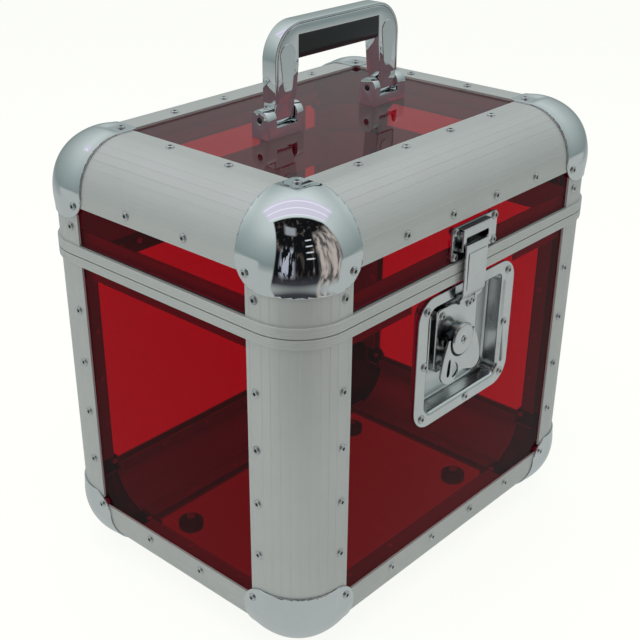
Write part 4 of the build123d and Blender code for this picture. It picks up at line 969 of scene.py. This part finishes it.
class CASE_OT_seal_and_shadow_lines(bpy.types.Operator):
    """Thin dark strips where the sheets meet the profiles and the rims: a seal, and painted shade in the gap
    """

    bl_idname = "case.seals"
    bl_label = "Seal And Shadow Lines"

    def execute(self, context):
        run_x = (PANEL_INSET - HALF_WIDTH, HALF_WIDTH - PANEL_INSET)
        run_y = (PANEL_INSET - HALF_DEPTH, HALF_DEPTH - PANEL_INSET)
        low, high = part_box("base_rim")[0].z / MM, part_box("lid_rim")[1].z / MM
        for body, levels in (("base", (BOTTOM + PANEL_INSET, low)), ("lid", (high, TOP - PANEL_INSET))):
            bm = bmesh.new()
            for side in (-1, 1):
                seal_and_shadow_frame(bm, 0, side, (None, run_y, levels))
                seal_and_shadow_frame(bm, 1, side, (run_x, None, levels))
            if body == "lid":
                seal_and_shadow_frame(bm, 2, 1, (run_x, run_y, None))
            # Near-black colour of the strips: a seal, and painted shade in the gap.
            seal = soft_black("seal", (0.012, 0.01, 0.01), 0.6, 300.0)
            finish_piece(bm, f"{body}_seals", body, [seal])
        return {"FINISHED"}


class CASE_OT_feet(bpy.types.Operator):
    """Rubber feet and their screws"""

    bl_idname = "case.feet"
    bl_label = "Feet"

    def execute(self, context):
        eased_copy("feet", "rubber_feet", "base", black_rubber(), 0.5)
        eased_copy("foot_screws", "foot_screw_heads", "base", satin_metal("xy"), 0.25)
        return {"FINISHED"}


class CASE_OT_hinges(bpy.types.Operator):
    """Rear hinges: leaves with eased edges and their pins"""

    bl_idname = "case.hinges"
    bl_label = "Rear Hinges"

    def execute(self, context):
        eased_copy("hinge_base_leaves", "base_leaves", "base", satin_metal("x"), 0.25)
        eased_copy("hinge_lid_leaves", "lid_leaves", "lid", satin_metal("x"), 0.25)
        eased_copy("hinge_pins", "hinge_pin_rods", "base", chrome(), 0.2)
        return {"FINISHED"}


# --- Handle -----------------------------------------------------------------------------------------


class CASE_OT_handle(bpy.types.Operator):
    """Chrome handle: frame, strap round it and black grip"""

    bl_idname = "case.handle"
    bl_label = "Handle"

    def execute(self, context):
        eased_copy("handle_frame", "handle_arch", "handle", chrome(), 1.6, 4, 40.0)
        eased_copy("handle_strap", "handle_strip", "handle", chrome(), 0.7, 3, 40.0)
        eased_copy("handle_grip", "handle_hold", "handle", black_grip(), 0.8, 3, 40.0)
        low, high = (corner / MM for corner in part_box("handle_frame"))
        hold_low, hold_high = (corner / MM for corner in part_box("handle_grip"))
        bm = bmesh.new()
        for left, right in ((low.x + 4.8, hold_low.x - 4.0), (hold_high.x + 4.0, high.x - 4.8)):
            middle, half = (left + right) / 2, (right - left) / 2
            oval = arc_points((middle, high.z - half - 12.0), half, 0, 180, 16)
            oval += arc_points((middle, low.z + 27.0), half * 0.62, 180, 360, 16)
            for side in (-1, 1):
                before = set(bm.verts)
                face = outline(bm, oval)
                moved = extruded(bm, [face], (0, 0, 0.55))
                rim = {edge for vert in moved for edge in vert.link_edges}
                bevel_edges(bm, [e for e in rim if all(v in moved for v in e.verts)], 0.4, 3)
                fresh = [vert for vert in bm.verts if vert not in before]
                matrix = Matrix(((1, 0, 0, 0), (0, 0, side, side * high.y), (0, 1, 0, 0), (0, 0, 0, 1)))
                bmesh.ops.transform(bm, matrix=matrix, verts=fresh)
        keep_flats(bm)
        finish_piece(bm, "handle_ovals", "handle", [chrome()], ["handle_frame"], 40.0)
        return {"FINISHED"}


class CASE_OT_brackets(bpy.types.Operator):
    """Brackets of the handle, with their screws and pins"""

    bl_idname = "case.brackets"
    bl_label = "Brackets"

    def execute(self, context):
        eased_copy("handle_brackets", "bracket_ears", "lid", chrome(), 0.9, 3, 40.0)
        eased_copy("bracket_screws", "bracket_screw_heads", "lid", bright_plate(), 0.25)
        eased_copy("handle_pins", "pivot_pins", "lid", dark_pin(), 0.3)
        return {"FINISHED"}


# --- Latch ------------------------------------------------------------------------------------------

KNOB_CENTRE = (1.0, 219.0)
DISH_SPAN = (-59.0, 64.4)
DISH_LEVELS = (160.0, 268.9)
DISH_OUT = -0.3
POCKET_SPAN = (-45.0, 51.0)
POCKET_LEVELS = (170.5, 258.5)
POCKET_DEPTH = 16.0
NOTCH_SPAN = (-15.8, 13.3)
NOTCH_TOP = 267.4


def on_front(bm, centre=(0.0, 0.0)):
    """Turns a shape drawn as (across, up, out) about a point of the front face into its place."""
    matrix = Matrix(((1, 0, 0, centre[0]), (0, 0, -1, -HALF_DEPTH), (0, 1, 0, centre[1]), (0, 0, 0, 1)))
    bmesh.ops.transform(bm, matrix=matrix, verts=bm.verts)


def holed_plate(bm, outer, holes, low, high, ease=0.0, segments=2):
    """A plate between two heights from closed runs of points: one outer line and its holes."""
    edges = []
    for run in [outer] + list(holes):
        verts = [bm.verts.new((x, y, low)) for x, y in run]
        edges += [bm.edges.new((a, b)) for a, b in zip(verts, verts[1:] + verts[:1])]
    made = bmesh.ops.triangle_fill(bm, edges=edges, use_beauty=True, use_dissolve=True)["geom"]
    faces = [item for item in made if isinstance(item, bmesh.types.BMFace)]
    bmesh.ops.recalc_face_normals(bm, faces=faces)
    top = extruded(bm, faces, (0, 0, high - low))
    if ease:
        lines = {e for v in top for e in v.link_edges if all(abs(w.co.z - high) < 1e-4 for w in e.verts)}
        lines = [e for e in lines if e.is_manifold and e.calc_face_angle(0.0) > 1.0]
        bevel_edges(bm, lines, ease, segments)


def keep_flats(bm, area=25.0, border=0.25):
    """Puts a narrow border round each large flat, so that the flat shades as a flat."""
    flats = [face for face in bm.faces if face.calc_area() > area]
    bmesh.ops.inset_individual(bm, faces=flats, thickness=border, depth=0.0, use_even_offset=True)


def turned(bm, points, centre, steps=32):
    """A turned piece about an axis out of the face, from a line of (radius, out) points."""
    verts = [bm.verts.new((centre[0] + radius, centre[1], out)) for radius, out in points]
    edges = [bm.edges.new((a, b)) for a, b in zip(verts, verts[1:])]
    bmesh.ops.spin(
        bm, geom=verts + edges, cent=(*centre, 0), axis=(0, 0, 1), angle=2 * math.pi, steps=steps,
        use_merge=True, use_duplicate=False,
    )


def hollow_rivet(bm, centre, out, radius=3.2, rise=1.1):
    """Head of a hollow rivet with a rolled rim and a deep centre."""
    inner = radius * 0.42
    turned(
        bm,
        [
            (radius, out - 0.6), (radius, out + rise * 0.35), (radius * 0.86, out + rise * 0.85),
            (radius * 0.66, out + rise), (inner * 1.15, out + rise * 0.8), (inner, out + rise * 0.2),
            (inner * 0.9, out - 0.5), (0.05, out - 0.6),
        ],
        centre, 20,
    )


def dish_runs(corner):
    """Outer line of the flange and inner line of the pocket, each from one side of the notch to the other."""
    runs = []
    for span, levels, radius in ((DISH_SPAN, DISH_LEVELS, corner), (POCKET_SPAN, POCKET_LEVELS, 8.0)):
        run = rounded_rectangle(span[0], levels[0], span[1], levels[1], radius, 8)
        while not (run[-1][1] > levels[1] - 0.01 and run[0][1] > levels[1] - 0.01):
            run = run[1:] + run[:1]
        ends = NOTCH_SPAN if run[0][0] < run[-1][0] else NOTCH_SPAN[::-1]
        runs.append([(ends[0], levels[1])] + run + [(ends[1], levels[1])])
    return runs


class CASE_OT_dish(bpy.types.Operator):
    """Recessed dish of the latch with a rolled edge, its cover plate and its guide channel"""

    bl_idname = "case.dish"
    bl_label = "Latch Dish"

    def execute(self, context):
        outer, inner = dish_runs(18.0)
        bm = bmesh.new()
        outer_verts = [bm.verts.new((x, y, DISH_OUT)) for x, y in outer]
        inner_verts = [bm.verts.new((x, y, DISH_OUT)) for x, y in inner]
        strip = zip(outer_verts, outer_verts[1:], inner_verts[1:], inner_verts)
        for corners in strip:
            bm.faces.new(corners)
        bmesh.ops.recalc_face_normals(bm, faces=bm.faces)
        chain = [outer_verts[0]] + inner_verts + [outer_verts[-1]]
        edges = [bm.edges.get(pair) for pair in zip(chain, chain[1:])]
        made = bmesh.ops.extrude_edge_only(bm, edges=edges)["geom"]
        deep = verts_of(made)
        bmesh.ops.translate(bm, vec=(0, 0, -POCKET_DEPTH - DISH_OUT), verts=deep)
        ends = [vert for vert in deep if abs(vert.co.y - DISH_LEVELS[1]) < 0.01]
        for vert in ends:
            vert.co.y = NOTCH_TOP
        closing = bm.edges.new(ends)
        lines = edges_of(made, deep)
        floor = bmesh.ops.contextual_create(bm, geom=lines + [closing])["faces"]
        raised = verts_of(bmesh.ops.extrude_edge_only(bm, edges=[closing])["geom"])
        bmesh.ops.translate(bm, vec=(0, 0, POCKET_DEPTH - 2.2), verts=raised)
        bmesh.ops.recalc_face_normals(bm, faces=bm.faces)
        if sum(face.normal.z * face.calc_area() for face in floor) < 0:
            bmesh.ops.reverse_faces(bm, faces=bm.faces)
        bevel_edges(bm, edges[1:-1], 3.2, 5)
        bevel_edges(bm, [edge for edge in lines if edge.is_valid], 2.4, 4)
        keep_flats(bm, 400.0, 0.3)
        flange = [f for f in bm.faces if all(abs(v.co.z - DISH_OUT) < 1e-3 for v in f.verts)]
        bmesh.ops.inset_region(bm, faces=flange, thickness=0.3, use_boundary=True, use_even_offset=True)
        on_front(bm)
        piece = finish_piece(
            bm, "dish", "base", [bright_plate()], ["latch_dish"], 50.0, closed=False
        )
        wall = piece.modifiers.new("wall", "SOLIDIFY")
        wall.thickness, wall.offset = 0.0014, -1.0

        bm = bmesh.new()
        holed_plate(bm, rounded_rectangle(-21, 193, 31, 246.5, 4.0), [], -12.5, -11.0, 0.5, 3)
        box_piece(bm, (-21, 195, -16), (-19.6, 244, -12.0))
        box_piece(bm, (29.6, 195, -16), (31, 244, -12.0))
        for place in ((-15, 199), (25, 199), (-15, 240.5), (25, 240.5)):
            hollow_rivet(bm, place, -11.0, 2.8, 0.9)
        keep_flats(bm)
        on_front(bm)
        finish_piece(bm, "cover_plate", "base", [bright_plate()], ["latch_cover"], 40.0)

        bm = bmesh.new()
        box_piece(bm, (-35, 200.5, -16), (-25, 248.5, -14.6), 0.2)
        for span in ((-35, -33.4), (-26.6, -25)):
            box_piece(bm, (span[0], 200.5, -16), (span[1], 248.5, -8), 0.5, 3)
        for level in (206.5, 242.5):
            hollow_rivet(bm, (-30, level), -14.6, 2.7, 1.6)
        keep_flats(bm)
        on_front(bm)
        finish_piece(bm, "guide_channel", "base", [bright_plate()], ["latch_guide"], 40.0)
        return {"FINISHED"}


class CASE_OT_knob(bpy.types.Operator):
    """Boss of the latch with its centre rivet, its fold pin and its coil spring"""

    bl_idname = "case.knob"
    bl_label = "Boss"

    def execute(self, context):
        bm = bmesh.new()
        turned(
            bm,
            [
                (0.05, -2.6), (1.9, -2.6), (2.6, -1.4), (3.1, -0.9), (4.2, -0.62), (4.5, -0.6), (11.0, -0.55),
                (11.3, -0.56), (12.3, -0.8), (12.85, -1.4), (13.0, -2.4), (12.7, -3.4), (10.2, -3.9),
                (9.6, -5.0), (9.6, -10.7),
            ],
            (0, 0), 48,
        )
        turned(bm, [(0.05, -1.15), (1.2, -1.25), (1.7, -1.7), (1.8, -2.6)], (0, 0), 16)
        on_front(bm, KNOB_CENTRE)
        finish_piece(bm, "boss", "knob", [bright_plate()], ["latch_knob"], 45.0)
        bm = bmesh.new()
        for side in (-1, 1):
            verts = [bm.verts.new((side * 9.0, 1.5, -6.0)), bm.verts.new((side * 17.0, 1.5, -6.0))]
            edge = bm.edges.new(verts)
            bmesh.ops.spin(
                bm, geom=verts + [edge], cent=(0, 0, -6.0), axis=(1, 0, 0), angle=2 * math.pi, steps=16,
                use_merge=True, use_duplicate=False,
            )
        bmesh.ops.holes_fill(bm, edges=[edge for edge in bm.edges if edge.is_boundary], sides=20)
        on_front(bm, KNOB_CENTRE)
        finish_piece(bm, "fold_pin", "knob", [chrome()], ["latch_fold_pin"])
        bm = bmesh.new()
        ring = bmesh.ops.create_circle(bm, cap_ends=False, segments=8, radius=0.55)["verts"]
        bmesh.ops.rotate(bm, verts=ring, cent=(0, 0, 0), matrix=Matrix.Rotation(math.pi / 2, 3, "X"))
        bmesh.ops.translate(bm, verts=ring, vec=(-16.0, 8.8, -6.0))
        turns, steps = 6, 20
        bmesh.ops.spin(
            bm, geom=ring + [edge for edge in bm.edges], cent=(-16.0, 6.0, -6.0), axis=(1, 0, 0),
            angle=2 * math.pi * turns, steps=turns * steps, dvec=(1.7 / steps, 0, 0), use_merge=False,
            use_duplicate=False,
        )
        on_front(bm, KNOB_CENTRE)
        finish_piece(bm, "spring", "knob", [dark_pin()], ["latch_spring"], 60.0)
        return {"FINISHED"}


WING_OUTLINE = [
    (17.0, 3.4), (17.4, 0.0), (20.0, -3.6), (22.6, -9.0), (24.5, -14.9), (26.2, -22.0), (26.6, -28.0),
    (22.9, -32.6), (16.8, -33.2), (10.5, -30.8), (4.7, -28.6), (-1.8, -28.5), (-4.5, -31.2), (-8.3, -35.4),
    (-15.6, -35.0), (-21.7, -31.4), (-25.2, -26.0), (-24.6, -19.5), (-22.4, -9.8), (-19.0, -1.0),
    (-17.0, 3.4), (-14.6, 3.4), (-14.6, 0.0),
]


def smooth_run(points, rounds=2, keep=()):
    """Rounds a closed run of points by cutting its corners, apart from those to keep."""
    for _ in range(rounds):
        done = []
        for place, point in enumerate(points):
            before, after = points[place - 1], points[(place + 1) % len(points)]
            if point in keep:
                done.append(point)
                continue
            done.append(tuple(p * 0.78 + b * 0.22 for p, b in zip(point, before)))
            done.append(tuple(p * 0.78 + a * 0.22 for p, a in zip(point, after)))
        points = done
    return points


class CASE_OT_wing(bpy.types.Operator):
    """Folding wing of the latch: a comma-shaped plate with a slot, an eye and two lugs"""

    bl_idname = "case.wing"
    bl_label = "Wing"

    def execute(self, context):
        keep = ((17.0, 3.4), (-17.0, 3.4), (-14.6, 3.4), (-14.6, 0.0))
        outer = smooth_run(WING_OUTLINE, 2, keep)
        outer += arc_points((0, 0), 14.6, -180, 0, 36)[1:] + [(14.6, 3.4)]
        slot = smooth_run([(-17.8, -28.0), (-13.6, -28.6), (-12.4, -13.6), (-15.8, -13.4)], 2)
        eye = smooth_run(
            [(-10.4, -31.2), (-6.2, -31.0), (-2.2, -27.4), (-2.4, -23.0), (-6.0, -18.4), (-10.4, -17.2)], 2
        )
        bm = bmesh.new()
        holed_plate(bm, outer, [slot, eye], -4.2, -2.4, 0.45, 3)
        for side in (-1, 1):
            ring = bmesh.ops.create_cone(
                bm, cap_ends=True, segments=24, radius1=3.4, radius2=3.4, depth=2.4
            )["verts"]
            bmesh.ops.rotate(bm, verts=ring, cent=(0, 0, 0), matrix=Matrix.Rotation(math.pi / 2, 3, "Y"))
            bmesh.ops.translate(bm, verts=ring, vec=(side * 15.8, 0, -6.0))
            ends = sorted((side * 14.6, side * 17.0))
            box_piece(bm, (ends[0], -3.4, -6.0), (ends[1], 3.4, -3.0))
        keep_flats(bm)
        plated = len(bm.faces)
        box_piece(bm, (-18.6, -29.2, -5.0), (-12.0, -12.8, -4.3))
        for place, face in enumerate(bm.faces):
            face.material_index = 1 if place >= plated else 0
        on_front(bm, KNOB_CENTRE)
        finish_piece(
            bm, "wing", "wing", [bright_plate(), dark_pin()], ["latch_wing"], 40.0
        )
        return {"FINISHED"}


class CASE_OT_drawbolt(bpy.types.Operator):
    """Drawbolt strip and its pivot pin"""

    bl_idname = "case.drawbolt"
    bl_label = "Drawbolt"

    def execute(self, context):
        eased_copy("latch_drawbolt", "drawbolt", "drawbolt", bright_plate(), 0.4, 2)
        eased_copy("tongue_pin", "tongue_rod", "drawbolt", bright_plate(), 0.2)
        return {"FINISHED"}


def side_plate(bm, points, left, right, ease=0.0):
    """A bar across the front face from its side outline of (out, height) points."""
    verts = [bm.verts.new((left, height, out)) for out, height in points]
    face = bm.faces.new(verts)
    moved = extruded(bm, [face], (right - left, 0, 0))
    if ease:
        lines = {edge for vert in moved + verts for edge in vert.link_edges}
        lines = [edge for edge in lines if edge.is_manifold and edge.calc_face_angle(0.0) > 0.6]
        bevel_edges(bm, lines, ease, 2)


class CASE_OT_tongue(bpy.types.Operator):
    """Tongue that draws the lid down: a bent strip with a raised panel and two barrels"""

    bl_idname = "case.tongue"
    bl_label = "Tongue"

    def execute(self, context):
        low, high = (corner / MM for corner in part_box("latch_tongue"))
        top, left, right = high.z, low.x, high.x
        bm = bmesh.new()
        side_plate(
            bm,
            [
                (5.2, 263.6), (3.4, 260.2), (4.6, 258.6), (6.6, 262.4), (6.6, top), (4.5, top),
                (4.5, top - 2.0), (5.2, top - 2.0),
            ],
            left, right, 0.3,
        )
        panel = rounded_rectangle(left + 3.4, 266.0, right - 2.0, top - 7.0, 0.8, 3)
        holed_plate(bm, panel, [], 6.3, 7.15, 0.3, 2)
        third = (right - left) / 3
        for start, end in ((left, left + third - 0.4), (right - third + 0.4, right)):
            tail = arc_points((2.0, 256.5), 2.1, 120, 345, 14)
            side_plate(bm, tail + [(4.7, 258.8), (4.9, 262.6)], start, end, 0.12)
        keep_flats(bm)
        on_front(bm)
        finish_piece(bm, "tongue", "tongue", [bright_plate()], ["latch_tongue"], 40.0)
        return {"FINISHED"}


class CASE_OT_keeper(bpy.types.Operator):
    """Keeper on the lid: a riveted plate with a hollow bump, slotted in front and at its left"""

    bl_idname = "case.keeper"
    bl_label = "Keeper"

    def execute(self, context):
        bm = bmesh.new()
        holed_plate(bm, rounded_rectangle(-24, 290, 32.5, 316.5, 3.0, 4), [], -1.8, -0.3, 0.35, 2)
        slot = rounded_rectangle(-12.5, 302.0, 15.5, 307.4, 0.9, 3)
        holed_plate(bm, rounded_rectangle(-16.5, 297, 20, 314.5, 1.6, 4), [slot], 3.0, 4.2, 0.7, 3)
        box_piece(bm, (-16.4, 309.2, -0.6), (-15.0, 314.3, 3.4), 0.2)
        box_piece(bm, (-16.4, 297.0, -0.6), (-15.0, 299.4, 3.4), 0.2)
        box_piece(bm, (18.5, 297.0, -0.6), (19.9, 314.3, 3.4), 0.2)
        box_piece(bm, (-16.4, 312.9, -0.6), (19.9, 314.4, 3.4), 0.2)
        plated = len(bm.faces)
        bm.faces.ensure_lookup_table()
        # Painted shade: a thin dark sheet inside the hollow bump, seen through its slot.
        box_piece(bm, (-14.9, 298.0, -0.28), (18.4, 312.8, -0.2))
        for place, face in enumerate(bm.faces):
            face.material_index = 1 if place >= plated else 0
        keep_flats(bm)
        on_front(bm)
        finish_piece(
            bm, "keeper", "lid", [bright_plate(), dark_pin()], ["latch_keeper"], 40.0
        )
        return {"FINISHED"}


# --- Stage ------------------------------------------------------------------------------------------


TENT_LIGHT = (0.80, 0.87, 0.86)
TENT_DARK = (0.16, 0.20, 0.20)
TENT_FOLDS = (0.30, 0.37, 0.37)
BOUNCE = (0.46, 0.49, 0.48)
EYE_WHITE = (0.99, 1.0, 0.96)


def dark_opening(wires, way, azimuth, x, height):
    """What metal sees in the dark opening: glare, ground, bars, a pane and streaks at its side."""
    squeezed = wires.stretched(way, (1.4, 1.4, 0.2))
    wave = wires.add("TexNoise", {"Vector": squeezed, "Scale": 7.0, "Detail": 4.0}).outputs["Fac"]
    ramp = wires.add("ValToRGB", {"Fac": wave})
    stops = ramp.color_ramp.elements
    stops[0].position, stops[0].color = 0.54, (0.006, 0.007, 0.008, 1)
    stops[1].position, stops[1].color = 0.68, (0.085, 0.065, 0.055, 1)
    stops.new(0.76).color = (0.42, 0.40, 0.42, 1)

    def patch(first, second):
        return wires.times(wires.band(*first), wires.band(*second))

    ragged = wires.band(wave, 0.47, 2.0, 0.02)
    glare = patch((azimuth, 0.10, 0.50, 0.05), (height, -0.35, 0.38, 0.08))
    ground = patch((azimuth, -0.9, 0.75, 0.15), (height, -1.3, -0.42, 0.12))
    rows = wires.maths("FRACT", wires.times(height, 5.6))
    bars = patch((rows, 0.40, 0.58, 0.05), (azimuth, -0.50, -0.28, 0.03))
    bars = wires.times(bars, wires.band(height, 0.05, 0.72, 0.02))
    pane = patch((x, 0.06, 0.36, 0.04), (height, 0.78, 1.02, 0.03))
    side = patch((azimuth, -1.34, -0.62, 0.05), (height, -0.7, 0.75, 0.1))
    streaks = wires.band(wave, 0.50, 2.0, 0.09)
    dark = ramp.outputs["Color"]
    for mask, color in (
        (ground, (0.05, 0.05, 0.06)),
        (wires.times(glare, ragged), (0.46, 0.48, 0.56)),
        (bars, (0.85, 0.86, 0.92)),
        (pane, (0.34, 0.35, 0.38)),
        (wires.times(side, 0.8), (0.12, 0.115, 0.115)),
        (wires.times(side, streaks), (0.52, 0.45, 0.41)),
    ):
        dark = wires.blend(mask, dark, color)
    return dark


def build_world(scene, level):
    """White to the eye and through glass; metal sees a pale tent with a dark opening in front."""
    world = bpy.data.worlds.new("pale_room")
    world.use_nodes = True
    scene.world = world
    wires = Wires(world.node_tree)
    wires.nodes.clear()
    way = wires.add("TexCoord").outputs["Generated"]
    turn = {"Vector": way, "Rotation": (0, 0, math.radians(FRONT_TURN))}
    way = wires.add("Mapping", turn, vector_type="POINT").outputs["Vector"]
    x, y, z = wires.add("SeparateXYZ", {"Vector": way}).outputs
    azimuth = wires.maths("ARCTAN2", x, y)
    over = wires.maths("ARCTAN2", z, y)
    width = wires.times(wires.band(azimuth, -1.34, 3.2, 0.02), wires.band(x, -1.1, 0.60, 0.015))
    opening = wires.times(width, wires.band(over, -1.25, 1.38, 0.02))
    lamp = wires.times(wires.band(over, 1.46, 2.02, 0.03), wires.band(x, -0.66, 0.66, 0.03))
    tubes = wires.maths("FRACT", wires.times(over, 4.4))
    tubes = wires.times(lamp, wires.band(tubes, 0.42, 0.52, 0.05))
    height = wires.maths("ARCSINE", z)
    folds = wires.add("TexNoise", {"Vector": way, "Scale": 1.6}).outputs["Fac"]
    climb = wires.maths("POWER", wires.ranged(z, -0.4, 0.85), 1.6)
    room = wires.blend(climb, shade(TENT_DARK, level), shade(TENT_LIGHT, level))
    for mask, color in (
        (wires.times(folds, 0.5), shade(TENT_FOLDS, level)),
        (wires.band(z, -2.0, -0.22, 0.10), BOUNCE),
        (lamp, (0.74, 0.70, 0.84)),
        (tubes, (1.1, 1.1, 1.2)),
        (opening, dark_opening(wires, way, azimuth, x, height)),
    ):
        room = wires.blend(mask, room, color)
    path = wires.add("LightPath").outputs
    seen = wires.maths("MAXIMUM", path["Is Camera Ray"], path["Is Transmission Ray"])
    plain = wires.blend(path["Is Glossy Ray"], (0.55, 0.55, 0.535), room)
    background = wires.add("Background", {"Color": wires.blend(seen, plain, EYE_WHITE)})
    wires.add("OutputWorld", {"Surface": background.outputs["Background"]})


def stage_white():
    """Floor that reads white, keeps a faint shadow, has a painted shadow under the case and fades out in
    metal.
    """
    finish = Finish("stage_white", (0.94, 0.94, 0.93), 0.9)
    place = finish.add("TexCoord").outputs["Object"]
    x, y, _ = finish.add("SeparateXYZ", {"Vector": place}).outputs
    path = finish.add("LightPath").outputs
    through = path["Is Transmission Ray"]
    half_x, half_y = HALF_WIDTH * MM, HALF_DEPTH * MM
    under = finish.times(finish.band(x, -half_x, half_x, 0.012), finish.band(y, -half_y, half_y, 0.012))
    # The dim tone under the case is a painted shadow, and shows only through the clear sheets.
    painted_shadow_tone = finish.blend(finish.times(under, through), EYE_WHITE, (0.42, 0.38, 0.38))
    glow = finish.add("Emission", {"Color": painted_shadow_tone, "Strength": 1.05}).outputs["Emission"]
    seen = finish.mix(0.86, finish.body, glow)
    by_eye = finish.mix(finish.maths("MAXIMUM", path["Is Camera Ray"], through), finish.body, seen)
    sheet = finish.add("Emission", {"Color": BOUNCE}).outputs["Emission"]
    gone = finish.add("BsdfTransparent").outputs["BSDF"]
    reach = finish.add("VectorMath", {0: place}, operation="LENGTH").outputs["Value"]
    near = finish.mix(finish.band(reach, -1.0, 0.64, 0.10), gone, sheet)
    finish.put(finish.surface, finish.mix(finish.in_metal(path), by_eye, near))
    return finish.material


def add_lamp(name, power, size, place, target):
    data = bpy.data.lights.new(name, "AREA")
    data.energy = power
    data.shape = "RECTANGLE"
    data.size, data.size_y = size
    lamp = bpy.data.objects.new(name, data)
    bpy.context.scene.collection.objects.link(lamp)
    lamp.location = place
    lamp.rotation_euler = (Vector(target) - Vector(place)).to_track_quat("-Z", "Y").to_euler()
    lamp.visible_glossy = False
    return lamp


CAMERA_PLACE = (-0.6605, -0.5736, 0.6216)
CAMERA_DOWN = 28.51
CAMERA_TURN = -47.44
CAMERA_SHIFT = (0.0316, 0.0689)
FRONT_TURN = -132.5


class CASE_OT_stage(bpy.types.Operator):
    """White floor, soft lamps, pale surroundings and the camera"""

    bl_idname = "case.stage"
    bl_label = "Stage"

    def execute(self, context):
        scene = context.scene
        settings = scene.case_stage
        scene.view_settings.view_transform = "Standard"
        build_world(scene, settings.room_level)
        bm = bmesh.new()
        bmesh.ops.create_grid(bm, x_segments=4, y_segments=4, size=9.0)
        mesh = bpy.data.meshes.new("floor")
        bm.to_mesh(mesh)
        bm.free()
        mesh.materials.append(stage_white())
        floor = bpy.data.objects.new("floor", mesh)
        scene.collection.objects.link(floor)
        mesh.transform(Matrix.Translation((0, 0, -0.0003)))
        add_lamp("key_lamp", settings.key_power, (1.6, 1.6), (-0.3, -0.2, 1.9), (0, 0, 0.2))
        add_lamp("left_lamp", settings.fill_power, (1.2, 1.2), (-1.6, 0.5, 0.8), (0, 0, 0.2))
        add_lamp("right_lamp", settings.fill_power * 0.35, (1.2, 1.2), (0.7, -1.6, 0.8), (0, 0, 0.2))
        data = bpy.data.cameras.new("camera")
        data.lens = settings.lens
        data.sensor_width = 36.0
        data.shift_x, data.shift_y = CAMERA_SHIFT
        data.clip_start, data.clip_end = 0.01, 60.0
        camera = bpy.data.objects.new("camera", data)
        camera.location = CAMERA_PLACE
        camera.rotation_euler = (math.radians(90 - CAMERA_DOWN), 0, math.radians(CAMERA_TURN))
        scene.collection.objects.link(camera)
        scene.camera = camera
        return {"FINISHED"}


# --- Panel and registration -------------------------------------------------------------------------

PIECES = (
    CASE_OT_panels,
    CASE_OT_profiles,
    CASE_OT_rims,
    CASE_OT_caps,
    CASE_OT_rivets,
    CASE_OT_seal_and_shadow_lines,
    CASE_OT_feet,
    CASE_OT_hinges,
    CASE_OT_handle,
    CASE_OT_brackets,
    CASE_OT_dish,
    CASE_OT_knob,
    CASE_OT_wing,
    CASE_OT_drawbolt,
    CASE_OT_tongue,
    CASE_OT_keeper,
    CASE_OT_stage,
)


class CASE_PT_pieces(bpy.types.Panel):
    """Lists the pieces of the case and its settings"""

    bl_label = "Record Carrying Case"
    bl_idname = "CASE_PT_pieces"
    bl_space_type = "VIEW_3D"
    bl_region_type = "UI"
    bl_category = "Case"

    def draw(self, context):
        scene = context.scene
        for settings in (scene.case_edges, scene.case_finish, scene.case_stage):
            box = self.layout.box()
            for name in settings.bl_rna.properties.keys():
                if name not in {"rna_type", "name"}:
                    box.prop(settings, name)
        column = self.layout.column(align=True)
        for piece in PIECES:
            column.operator(piece.bl_idname)


CLASSES = (CaseEdgeSettings, CaseFinishSettings, CaseStageSettings) + PIECES + (CASE_PT_pieces,)


def register():
    for item in CLASSES:
        bpy.utils.register_class(item)
    bpy.types.Scene.case_edges = PointerProperty(type=CaseEdgeSettings)
    bpy.types.Scene.case_finish = PointerProperty(type=CaseFinishSettings)
    bpy.types.Scene.case_stage = PointerProperty(type=CaseStageSettings)


def unregister():
    for name in ("case_stage", "case_finish", "case_edges"):
        delattr(bpy.types.Scene, name)
    for item in reversed(CLASSES):
        bpy.utils.unregister_class(item)


def main():
    """Builds every piece in order."""
    register()
    for piece in PIECES:
        group, name = piece.bl_idname.split(".")
        getattr(getattr(bpy.ops, group), name)()
    bpy.context.view_layer.update()


if __name__ == "__main__":
    main()
